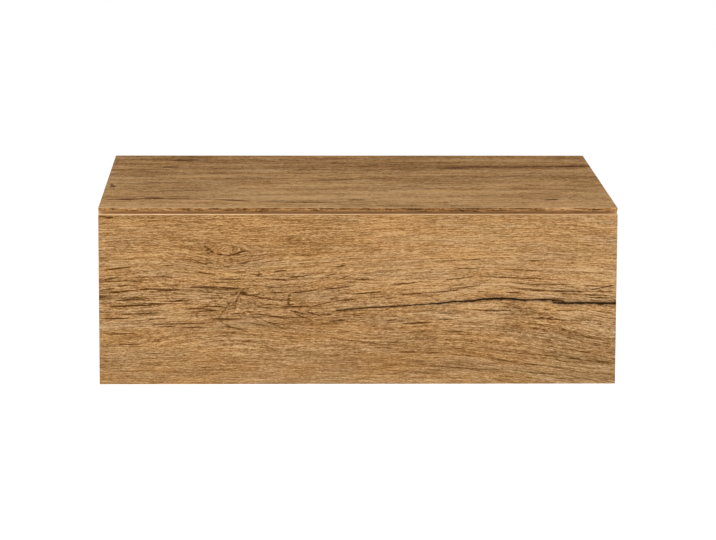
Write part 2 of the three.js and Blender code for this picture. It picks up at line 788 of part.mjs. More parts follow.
// A cage: two strips in the ball races, joined by a web with a long window, and its balls.
function ballCage(web, ballDepth, ballMiddle, ballRadius) {
  const stripHalf = CAGE_STRIP / 2;
  const section = channelSection(web, ballDepth + stripHalf, ballMiddle + stripHalf, CAGE_STRIP);
  const bar = prism("y", section, 0, cageLength);
  const windowShare = 0.75;
  const windowHalf = ballMiddle * windowShare;
  const window = box(
    [web - CUT_OVERRUN, web + CAGE_STRIP + CUT_OVERRUN],
    [CAGE_BRIDGE, cageLength - CAGE_BRIDGE],
    [-windowHalf, windowHalf],
  );
  const ball = solidFrom(new THREE.SphereGeometry(ballRadius, BALL_SIDES, BALL_SIDES - 2));
  const ballCount = 3;
  const pitch = (cageLength - 2 * BALL_INSET) / (ballCount - 1);
  let cage = bar.subtract(window);
  for (const row of [-1, 1]) {
    for (let i = 0; i < ballCount; i += 1) {
      cage = cage.add(ball.translate([ballDepth, BALL_INSET + i * pitch, row * ballMiddle]));
    }
  }
  return cage;
}

const outerTravelShare = 0.25;
const cageLength = slideLength / 2 - CAGE_RESERVE;
const cageStart = drawerTravel * outerTravelShare + CAGE_MARGIN;

// The cabinet's half of a slide, with the middle member and both cages.
function slide(side) {
  const group = new THREE.Group();
  group.position.set(side.sign * (innerHalf - slidePlay), slideFront, slideMiddle);
  group.rotation.y = side.sign > 0 ? Math.PI : 0;
  const outer = mesh(`slide_outer_${side.word}`, outerMember(), zinc);
  const middle = mesh(`slide_middle_${side.word}`, middleMember(), zinc);
  const inner = mesh(`slide_inner_${side.word}`, innerMember(), zinc);
  const outerCage = mesh(
    `ball_cage_outer_${side.word}`,
    ballCage(outerCageWeb, outerBallDepth, outerBallMiddle, OUTER_BALL_RADIUS),
    nickel,
  );
  const innerCage = mesh(
    `ball_cage_inner_${side.word}`,
    ballCage(innerCageWeb, innerBallDepth, innerBallMiddle, INNER_BALL_RADIUS),
    nickel,
  );
  outerCage.position.y = cageStart;
  innerCage.position.y = cageStart;
  group.add(outer, middle, inner, outerCage, innerCage);
  for (const place of slideScrewPlaces) {
    const along = place.y - slideFront;
    const cabinetScrew = mesh(
      `slide_cabinet_screw_${side.word}_${place.word}`,
      screw(CABINET_SCREW_LENGTH),
      zinc,
    );
    placed(cabinetScrew, [SLIDE_STEEL, along, 0], [1, 0, 0]);
    const drawerScrew = mesh(
      `slide_drawer_screw_${side.word}_${place.word}`,
      screw(DRAWER_SCREW_LENGTH),
      zinc,
    );
    placed(drawerScrew, [innerWeb, along, 0], [-1, 0, 0]);
    group.add(cabinetScrew, drawerScrew);
  }
  return group;
}

// Push-to-open latch
// It lies on the bottom panel, and its magnet meets a steel plate on the drawer front.

const latchFront = carcassFront + LATCH_SETBACK;
const latchAxis = BOARD + LATCH_HEIGHT / 2;
const latchEarMiddle = latchFront + LATCH_LENGTH / 2;
const latchScrewX = LATCH_WIDTH / 2 + LATCH_EAR_WIDTH / 2;
const latchScrewFace = BOARD + LATCH_EAR_THICKNESS;
const strikeFace = frontBack + STRIKE_THICKNESS;
const plungerTip = strikeFace + FIT;
const plungerEnd = plungerTip + PLUNGER_LENGTH;
const springEnd = latchFront + LATCH_LENGTH - LATCH_END_WALL;

function latchScrewRoom(side) {
  const place = [side.sign * latchScrewX, latchEarMiddle, latchScrewFace];
  return cutterAt(screwRoom(LATCH_SCREW_LENGTH), place, [0, 0, 1]);
}

function latchHousing() {
  const half = LATCH_WIDTH / 2;
  const bevelShare = 0.2;
  const bevel = LATCH_HEIGHT * bevelShare;
  const top = BOARD + LATCH_HEIGHT;
  const section = [
    [-half, BOARD],
    [half, BOARD],
    [half, top - bevel],
    [half - bevel, top],
    [-half + bevel, top],
    [-half, top - bevel],
  ];
  const body = prism("y", section, latchFront, latchFront + LATCH_LENGTH);
  const earHalf = half + LATCH_EAR_WIDTH;
  const earEnds = [latchEarMiddle - LATCH_EAR_LENGTH / 2, latchEarMiddle + LATCH_EAR_LENGTH / 2];
  const ears = box([-earHalf, earHalf], earEnds, [BOARD, latchScrewFace]);
  const bore = hole("y", [0, latchAxis], PLUNGER_RADIUS + FIT, latchFront - CUT_OVERRUN, springEnd);
  const cutters = [bore, ...sides.map(latchScrewRoom)];
  return mesh("latch_housing", cutAll(body.add(ears), cutters), latchPlastic);
}

// The plunger's own Z = 0 is its tip, which points forwards.
function latchPlunger() {
  const tipShare = 0.15;
  const rounding = PLUNGER_RADIUS * tipShare;
  const profile = [
    [-PLUNGER_LENGTH, PLUNGER_RADIUS],
    [-rounding, PLUNGER_RADIUS],
    [0, PLUNGER_RADIUS - rounding],
  ];
  const pocketProfile = [
    [-MAGNET_THICKNESS - FIT, MAGNET_RADIUS + FIT],
    [CUT_OVERRUN, MAGNET_RADIUS + FIT],
  ];
  const body = turned(profile, ROUND_SIDES).subtract(turned(pocketProfile, ROUND_SIDES));
  return placed(mesh("latch_plunger", body, plungerPlastic), [0, plungerTip, latchAxis], [0, -1, 0]);
}

function latchMagnet() {
  const disc = turned([[-MAGNET_THICKNESS, MAGNET_RADIUS], [0, MAGNET_RADIUS]], ROUND_SIDES);
  return placed(mesh("latch_magnet", disc, nickel), [0, plungerTip, latchAxis], [0, -1, 0]);
}

function latchStrikePlate() {
  const half = STRIKE_SIZE / 2;
  const cornerShare = 0.25;
  const corner = half * cornerShare;
  const outline = [
    [-half, -half + corner],
    [-half + corner, -half],
    [half - corner, -half],
    [half, -half + corner],
    [half, half - corner],
    [half - corner, half],
    [-half + corner, half],
    [-half, half - corner],
  ].map(([x, z]) => [x, z + latchAxis]);
  return mesh("latch_strike_plate", prism("y", outline, frontBack, strikeFace), zinc);
}

function latchScrew(side) {
  const piece = mesh(`latch_screw_${side.word}`, screw(LATCH_SCREW_LENGTH), zinc);
  return placed(piece, [side.sign * latchScrewX, latchEarMiddle, latchScrewFace], [0, 0, 1]);
}

class Helix extends THREE.Curve {
  constructor(radius, length, turns) {
    super();
    this.radius = radius;
    this.length = length;
    this.turns = turns;
  }

  getPoint(t, target = new THREE.Vector3()) {
    const angle = 2 * Math.PI * this.turns * t;
    return target.set(this.radius * Math.cos(angle), this.radius * Math.sin(angle), this.length * t);
  }
}

function latchSpring() {
  const wireRadius = SPRING_WIRE / 2;
  const room = springEnd - plungerEnd;
  const length = room - SPRING_WIRE - 2 * FIT;
  const path = new Helix(SPRING_RADIUS - wireRadius, length, SPRING_TURNS);
  const section = [];
  for (let i = 0; i < SPRING_SIDES; i += 1) {
    const angle = (2 * Math.PI * i) / SPRING_SIDES;
    section.push([wireRadius * Math.cos(angle), wireRadius * Math.sin(angle)]);
  }
  const steps = SPRING_TURNS * SPRING_STEPS_PER_TURN;
  const wire = new THREE.ExtrudeGeometry(shapeFrom(section), { steps, extrudePath: path });
  const piece = mesh("latch_spring", solidFrom(wire), nickel);
  return placed(piece, [0, plungerEnd + FIT + wireRadius, latchAxis], [0, 1, 0]);
}

// Assembly

const cabinet = new THREE.Group();
cabinet.position.z = -wallCleatMiddle;
cabinet.add(topPanel(), bottomPanel(), backPanel(), wallCleat(), cabinetCleat());
cabinet.add(drawerFront(), drawerFrontEdgeBand(), drawerBack(), drawerBase());
cabinet.add(latchHousing(), latchPlunger(), latchMagnet(), latchSpring(), latchStrikePlate());
for (const side of sides) {
  cabinet.add(sidePanel(side), ...sideDowels(side), cleatScrew(side));
  cabinet.add(...camPlaces.flatMap((cam) => camFittings(side, cam)));
  cabinet.add(drawerSide(side), ...drawerCamFittings(side));
  cabinet.add(slide(side), latchScrew(side));
}

const group = new THREE.Group();
group.add(cabinet);

export default group;
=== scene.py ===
"""Looks, light and camera of the floating nightstand, in metres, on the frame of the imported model."""
import json
import math
import random

import bpy
from mathutils import Matrix, Vector


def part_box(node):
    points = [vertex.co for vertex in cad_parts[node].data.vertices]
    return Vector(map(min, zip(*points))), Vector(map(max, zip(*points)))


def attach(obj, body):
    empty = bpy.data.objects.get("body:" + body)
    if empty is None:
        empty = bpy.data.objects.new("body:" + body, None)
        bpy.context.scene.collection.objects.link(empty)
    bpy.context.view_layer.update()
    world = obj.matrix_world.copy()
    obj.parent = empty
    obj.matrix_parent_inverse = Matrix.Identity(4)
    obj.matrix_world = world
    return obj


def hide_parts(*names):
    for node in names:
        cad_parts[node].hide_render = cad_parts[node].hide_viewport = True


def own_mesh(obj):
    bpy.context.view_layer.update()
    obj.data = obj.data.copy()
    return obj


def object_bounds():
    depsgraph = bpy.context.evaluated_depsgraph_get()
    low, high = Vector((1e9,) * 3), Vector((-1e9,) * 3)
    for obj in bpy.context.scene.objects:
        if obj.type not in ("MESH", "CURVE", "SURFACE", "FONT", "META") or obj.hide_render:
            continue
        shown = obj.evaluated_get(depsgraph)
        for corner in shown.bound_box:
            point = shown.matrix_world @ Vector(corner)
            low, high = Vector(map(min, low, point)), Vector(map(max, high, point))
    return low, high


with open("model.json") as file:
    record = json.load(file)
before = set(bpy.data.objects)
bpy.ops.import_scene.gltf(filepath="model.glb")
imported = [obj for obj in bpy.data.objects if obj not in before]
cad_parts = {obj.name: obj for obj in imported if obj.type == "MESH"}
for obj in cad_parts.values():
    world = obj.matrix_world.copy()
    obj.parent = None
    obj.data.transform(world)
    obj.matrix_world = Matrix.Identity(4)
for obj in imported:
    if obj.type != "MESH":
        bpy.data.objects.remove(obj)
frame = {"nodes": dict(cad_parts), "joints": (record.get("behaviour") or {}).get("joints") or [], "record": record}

cad_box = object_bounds()
MILLIMETRE = 0.001

# The photograph's frame and the camera that it was taken with
PHOTO_WIDTH = 716
PHOTO_HEIGHT = 540
FOCAL_PIXELS = 3450
SENSOR_WIDTH = 36.0
CAMERA_PLACE = Vector((-0.075, -3.369, 0.5135))
CAMERA_YAW = math.radians(-1.42)
CAMERA_PITCH = math.radians(9.49)
CAMERA_ROLL = math.radians(0.2)
CAMERA_REACH = 100

# Studio
FLOOR_DROP = 0.45
FLOOR_SIZE = 14.0
SKY_SHOWN = 1.0
SKY_LIGHT = 0.3
FLOOR_GLOW = 0.74
# Each lamp gives its place and its side in metres, and its power in watts.
KEY_LAMP = ((-0.9, -3.0, 0.9), 1.4, 30.0)
OVERHEAD_LAMP = ((0.1, -0.3, 2.2), 1.8, 22.8)

# Main faces of the object, from the solids
top_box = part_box("top_panel")
front_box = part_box("drawer_front")
TOP_FACE = top_box[1].z
FRONT_FACE = front_box[0].y
UNDERSIDE = front_box[0].z


def camera_axes():
    """The camera's right, up and forward directions."""
    turn = Matrix.Rotation(CAMERA_YAW, 3, "Z")
    forward = turn @ Vector((0, math.cos(CAMERA_PITCH), -math.sin(CAMERA_PITCH)))
    level = turn @ Vector((1, 0, 0))
    rise = level.cross(forward)
    right = level * math.cos(CAMERA_ROLL) + rise * math.sin(CAMERA_ROLL)
    up = right.cross(forward)
    return right, up, forward


def make_camera():
    right, up, forward = camera_axes()
    data = bpy.data.cameras.new("camera")
    data.sensor_width = SENSOR_WIDTH
    data.lens = FOCAL_PIXELS / PHOTO_WIDTH * SENSOR_WIDTH
    data.clip_end = CAMERA_REACH
    camera = bpy.data.objects.new("camera", data)
    turn = Matrix((right, up, -forward)).transposed().to_4x4()
    camera.matrix_world = Matrix.Translation(CAMERA_PLACE) @ turn
    bpy.context.scene.collection.objects.link(camera)
    bpy.context.scene.camera = camera


def seen_through(x, y):
    """The direction in which the camera sees a pixel of the photograph."""
    right, up, forward = camera_axes()
    across = x + 0.5 - PHOTO_WIDTH / 2
    down = y + 0.5 - PHOTO_HEIGHT / 2
    return forward * FOCAL_PIXELS + right * across - up * down


def front_spot(x, y):
    """Where a pixel falls on the drawer front, as millimetres along X and Z."""
    ray = seen_through(x, y)
    hit = CAMERA_PLACE + ray * ((FRONT_FACE - CAMERA_PLACE.y) / ray.y)
    return hit.x / MILLIMETRE, hit.z / MILLIMETRE


def top_spot(x, y):
    """Where a pixel falls on the top face, as millimetres along X and Y."""
    ray = seen_through(x, y)
    hit = CAMERA_PLACE + ray * ((TOP_FACE - CAMERA_PLACE.z) / ray.z)
    return hit.x / MILLIMETRE, hit.y / MILLIMETRE


def fold_spot(x, y):
    """Where a pixel falls on the mitre under the top's front arris.

    It is given in the millimetres of the top's figure, which goes on past the arris.
    """
    ray = seen_through(x, y)
    reach = (FRONT_FACE + TOP_FACE - CAMERA_PLACE.y - CAMERA_PLACE.z) / (ray.y + ray.z)
    hit = CAMERA_PLACE + ray * reach
    return hit.x / MILLIMETRE, (FRONT_FACE - TOP_FACE + hit.z) / MILLIMETRE


def linear(red, green, blue):
    """A display colour of 0 to 255 as the linear colour that a shader takes, by the sRGB curve."""
    shares = [c / 255 for c in (red, green, blue)]
    return tuple(s / 12.92 if s <= 0.04045 else ((s + 0.055) / 1.055) ** 2.4 for s in shares) + (1.0,)


class Field:
    """A number or vector that varies over a surface. Arithmetic on numbers adds Math nodes."""

    def __init__(self, graph, socket):
        self.graph = graph
        self.socket = socket

    def math(self, operation, *terms):
        inputs = dict(enumerate((self, *terms)))
        return self.graph.node("ShaderNodeMath", inputs, operation=operation)

    def __add__(self, other):
        return self.math("ADD", other)

    def __sub__(self, other):
        return self.math("SUBTRACT", other)

    def __rsub__(self, other):
        return self.math("MULTIPLY_ADD", -1.0, other)

    def __mul__(self, other):
        return self.math("MULTIPLY", other)

    def __truediv__(self, other):
        return self.math("DIVIDE", other)

    def __abs__(self):
        return self.math("ABSOLUTE")

    def at_least(self, other):
        return self.math("MAXIMUM", other)

    def at_most(self, other):
        return self.math("MINIMUM", other)

    def over(self, limit):
        return self.math("GREATER_THAN", limit)

    def ease(self, low, high):
        """0 below low, 1 above high, and smooth between them."""
        inputs = {"Value": self, "From Min": low, "From Max": high}
        return self.graph.node("ShaderNodeMapRange", inputs, interpolation_type="SMOOTHSTEP")


class Graph:
    """One material and the nodes that it is made of. Places in it are in millimetres."""

    def __init__(self, name):
        self.material = bpy.data.materials.new(name)
        self.material.use_nodes = True
        self.tree = self.material.node_tree
        self.shader = self.tree.nodes["Principled BSDF"]

    def feed(self, socket, source):
        if isinstance(source, Field):
            self.tree.links.new(source.socket, socket)
        else:
            socket.default_value = source

    def node(self, kind, inputs, output=0, **settings):
        made = self.tree.nodes.new(kind)
        for name, value in settings.items():
            setattr(made, name, value)
        for slot, source in inputs.items():
            self.feed(made.inputs[slot], source)
        return Field(self, made.outputs[output])

    def split(self, vector):
        made = self.tree.nodes.new("ShaderNodeSeparateXYZ")
        self.feed(made.inputs[0], vector)
        return [Field(self, socket) for socket in made.outputs]

    def join(self, x, y, z=0.0):
        return self.node("ShaderNodeCombineXYZ", {0: x, 1: y, 2: z})

    def coordinates(self, output):
        return self.split(self.node("ShaderNodeTexCoord", {}, output))

    def place(self):
        """X, Y and Z on the piece at rest, in millimetres."""
        return [axis / MILLIMETRE for axis in self.coordinates("Object")]

    def noise(self, place, cell, detail=2.0, roughness=0.5, seed=0.0):
        """Noise from -1 to 1. Its cells have the given sizes along the place's three axes."""
        x, y, z = [axis / size for axis, size in zip(place, cell)]
        inputs = {"Vector": self.join(x, y, z + seed), "Scale": 1.0, "Detail": detail, "Roughness": roughness}
        return self.node("ShaderNodeTexNoise", inputs) * 2.0 - 1.0

    def bell(self, spot, centre, spread):
        """1 at a spot of the board, and falls off to 0 around it."""
        offset = (-centre[0] / spread[0], -centre[1] / spread[1], 0.0)
        scale = (1 / spread[0], 1 / spread[1], 0.0)
        inputs = {0: spot, 1: scale, 2: offset}
        local = self.node("ShaderNodeVectorMath", inputs, operation="MULTIPLY_ADD")
        return (self.dot(local, local) * -0.5).math("EXPONENT")

    def bells(self, spot, entries, start):
        """The start value plus each entry's bell times its height."""
        for centre, spread, height in entries:
            start = self.bell(spot, centre, spread) * height + start
        return start

    def strokes(self, along, across, lines):
        """The darkest of many strokes.

        Each is a long ellipse, as dark as it says at its middle and 0 at its outline. Inside such an
        ellipse 1 minus the squared distance is a quadratic of the place, so two dot products draw it.
        """
        squares = self.join(along * along, along * across, across * across)
        plain = self.join(along, across, 1.0)
        found = None
        for start, end, thickness, darkness in lines:
            run = Vector(end) - Vector(start)
            middle = (Vector(end) + Vector(start)) / 2
            heading = run.normalized()
            aside = Vector((-heading.y, heading.x))
            long_share = 4 / run.length_squared
            wide_share = 1 / thickness**2
            long_place = heading.dot(middle)
            wide_place = aside.dot(middle)
            curved = (
                long_share * heading.x**2 + wide_share * aside.x**2,
                2 * (long_share * heading.x * heading.y + wide_share * aside.x * aside.y),
                long_share * heading.y**2 + wide_share * aside.y**2,
            )
            straight = (
                -2 * (long_share * long_place * heading.x + wide_share * wide_place * aside.x),
                -2 * (long_share * long_place * heading.y + wide_share * wide_place * aside.y),
                long_share * long_place**2 + wide_share * wide_place**2 - 1,
            )
            bend = self.dot(squares, [-darkness * c for c in curved])
            stroke = bend + self.dot(plain, [-darkness * c for c in straight])
            found = stroke if found is None else found.at_least(stroke)
        return found.at_least(0.0)

    def dot(self, first, second):
        return self.node("ShaderNodeVectorMath", {0: first, 1: second}, "Value", operation="DOT_PRODUCT")

    def curve(self, value, points):
        """A smooth curve through points, all of them from 0 to 1."""
        made = self.tree.nodes.new("ShaderNodeFloatCurve")
        self.feed(made.inputs["Value"], value)
        line = made.mapping.curves[0]
        line.points[0].location = points[0]
        line.points[1].location = points[-1]
        for x, y in points[1:-1]:
            line.points.new(x, y)
        made.mapping.update()
        return Field(self, made.outputs[0])

    def ramp(self, value, stops):
        """A colour between the stops, which are pairs of a place from 0 to 1 and a colour."""
        made = self.tree.nodes.new("ShaderNodeValToRGB")
        self.feed(made.inputs[0], value)
        steps = made.color_ramp.elements
        for step, (place, colour) in zip([steps[0], steps[1]], [stops[0], stops[-1]]):
            step.position = place
            step.color = colour
        for place, colour in stops[1:-1]:
            steps.new(place).color = colour
        return Field(self, made.outputs[0])

    def blend(self, share, first, second, how="MIX"):
        """The first colour, with the second over it by a share from 0 to 1."""
        inputs = {0: share, 6: first, 7: second}
        return self.node("ShaderNodeMix", inputs, 2, data_type="RGBA", blend_type=how)

    def choose(self, share, first, second):
        """The first vector where the share is 0 and the second where it is 1."""
        return self.node("ShaderNodeMix", {0: share, 4: first, 5: second}, 1, data_type="VECTOR")

    def bump(self, height, depth):
        """Relief from a height of 0 to 1 that stands for a depth in millimetres."""
        inputs = {"Height": height, "Distance": depth * MILLIMETRE, "Strength": 1.0}
        self.feed(self.shader.inputs["Normal"], self.node("ShaderNodeBump", inputs))

    def finish(self, colour, roughness, **constants):
        self.feed(self.shader.inputs["Base Color"], colour)
        self.feed(self.shader.inputs["Roughness"], roughness)
        for name, value in constants.items():
            self.shader.inputs[name.replace("_", " ")].default_value = value
        return self.material


# Oak decor, as display colours from its darkest fibres to its lightest
OAK_TONES = [
    (0.0, linear(84, 52, 20)),
    (0.3, linear(129, 92, 50)),
    (0.55, linear(161, 121, 76)),
    (0.8, linear(186, 147, 101)),
    (1.0, linear(212, 173, 126)),
]
OAK_MIDDLE = 0.66
OAK_ROUGHNESS = 0.74
OAK_SPECULAR = 0.06
# Depth of the pores in millimetres
OAK_RELIEF = 0.12
# Boards lie this far apart in the noise, in millimetres, so that no two are alike
BOARD_STEP = 97.0
# The grain's layers. A cell is how long, wide and deep one mark is, in millimetres.
DRIFT_CELL = (70, 22, 60)
DRIFT_HEIGHT = 2.4
CURL_CELL = (9, 4, 60)
CURL_HEIGHT = 0.25
BROAD_CELL = (190, 26, 80)
BROAD_SHARE = 0.12
BAND_CELL_DEPTH = 80
FIBRE_CELL = (24, 0.62, 40)
FIBRE_SHARE = 0.46
FLECK_CELL = (4.2, 0.5, 40)
FLECK_SHARE = 0.5
PORE_CELL = (1.5, 0.48, 40)
PORE_SHARE = 0.4
LONG_FIBRE_CELL = (42, 1.0, 60)
LONG_FIBRE_SHARE = 0.65
MARK_SHARE = 0.75
SPECK_SHARE = 0.8
CHIPBOARD_TONES = [
    (0.0, linear(122, 92, 60)),
    (0.35, linear(176, 142, 100)),
    (1.0, linear(221, 192, 150)),
]
# The edge band's colours are a painted highlight along the drawer front's top arris, from its dimmer to its
# brightest
EDGE_BAND_HIGHLIGHT_TONES = [
    (0.0, linear(200, 156, 106)),
    (1.0, linear(248, 210, 158)),
]
CRACK_COLOUR = linear(40, 25, 8)
GOLDEN = linear(255, 245, 227)
GREYED = linear(247, 250, 255)

# The oak's figure on the drawer front, in the photograph's pixels.
# Each rise gives where the grain swells up or sags, how far that reaches in millimetres, and by how much.
FRONT_RISES = [
    ((482, 294), (95, 42), 11),
    ((690, 378), (120, 34), -22),
    ((150, 275), (35, 22), 5),
    ((228, 262), (22, 9), -5),
    ((240, 333), (60, 13), 8),
    ((228, 247), (9, 3.2), 5.5),
]
# Each tone patch gives a place, its reach in millimetres, and how much lighter it is.
FRONT_PATCHES = [
    ((470, 278), (110, 16), 0.1),
    ((520, 240), (120, 30), 0.06),
    ((500, 312), (60, 7), 0.08),
    ((520, 350), (150, 24), -0.07),
    ((557, 330), (26, 5), -0.08),
    ((236, 300), (14, 11), -0.08),
    ((308, 254), (42, 10), -0.1),
    ((334, 276), (22, 9), -0.07),
    ((436, 322), (26, 9), 0.1),
    ((592, 322), (24, 9), 0.14),
    ((594, 276), (26, 9), 0.1),
    ((180, 373), (26, 9), -0.06),
    ((310, 373), (48, 9), -0.08),
    ((207, 249), (12, 5), -0.13),
    ((305, 308), (22, 7), -0.08),
]
# Where the wood is more golden, or greyer
FRONT_WARMTH = [
    ((250, 232), (170, 20), 0.45),
    ((585, 368), (50, 20), -0.6),
]
# Where the fibres stand out more, or less
FRONT_CONTRAST = [
    ((357, 296), (400, 16), 0.14),
    ((357, 378), (400, 30), -0.26),
]
# Where the fibres are long and dark
FRONT_STREAKY = [
    ((165, 296), (75, 26), 1.0),
    ((330, 318), (60, 14), 0.6),
    ((560, 288), (70, 12), 0.7),
    ((560, 360), (70, 14), 0.1),
]
FRONT_MOTTLED = ((254, 275), (11, 4))
# Where the fibres curl around the knot, and by how much in millimetres
FRONT_KNOTS = [
    ((240, 300), (16, 12), 3.4),
    ((226, 250), (14, 6), 2.2),
    ((296, 306), (14, 9), 1.6),
]
# The long crack is two that pass each other: the points of each, with their widths in millimetres
FRONT_CRACKS = [
    [
        ((335, 310.0), 0.5),
        ((352, 308.7), 0.9),
        ((372, 306.9), 0.8),
        ((402, 305.3), 0.8),
        ((430, 303.5), 1.0),
        ((453, 301.2), 1.3),
        ((470, 300.3), 1.3),
        ((482, 298.8), 1.8),
        ((492, 298.2), 2.1),
        ((509, 298.2), 1.9),
        ((524, 299.6), 1.5),
        ((541, 299.2), 1.4),
        ((556, 300.1), 1.6),
        ((564, 301.2), 0.7),
    ],
    [
        ((552, 301.6), 0.6),
        ((562, 302.5), 1.7),
        ((576, 302.6), 2.1),
        ((590, 302.4), 1.8),
        ((604, 302.8), 2.1),
        ((618, 302.4), 1.7),
    ],
]
# How thick and how dark each kind of line is drawn, as shares of what its entries say
FRONT_LINE_SHARES = (0.6, 2.2)
VEIN_SHARES = (1.0, 0.85)
ARC_SHARES = (0.85, 0.62)
TOP_LINE_SHARES = (0.85, 1.7)
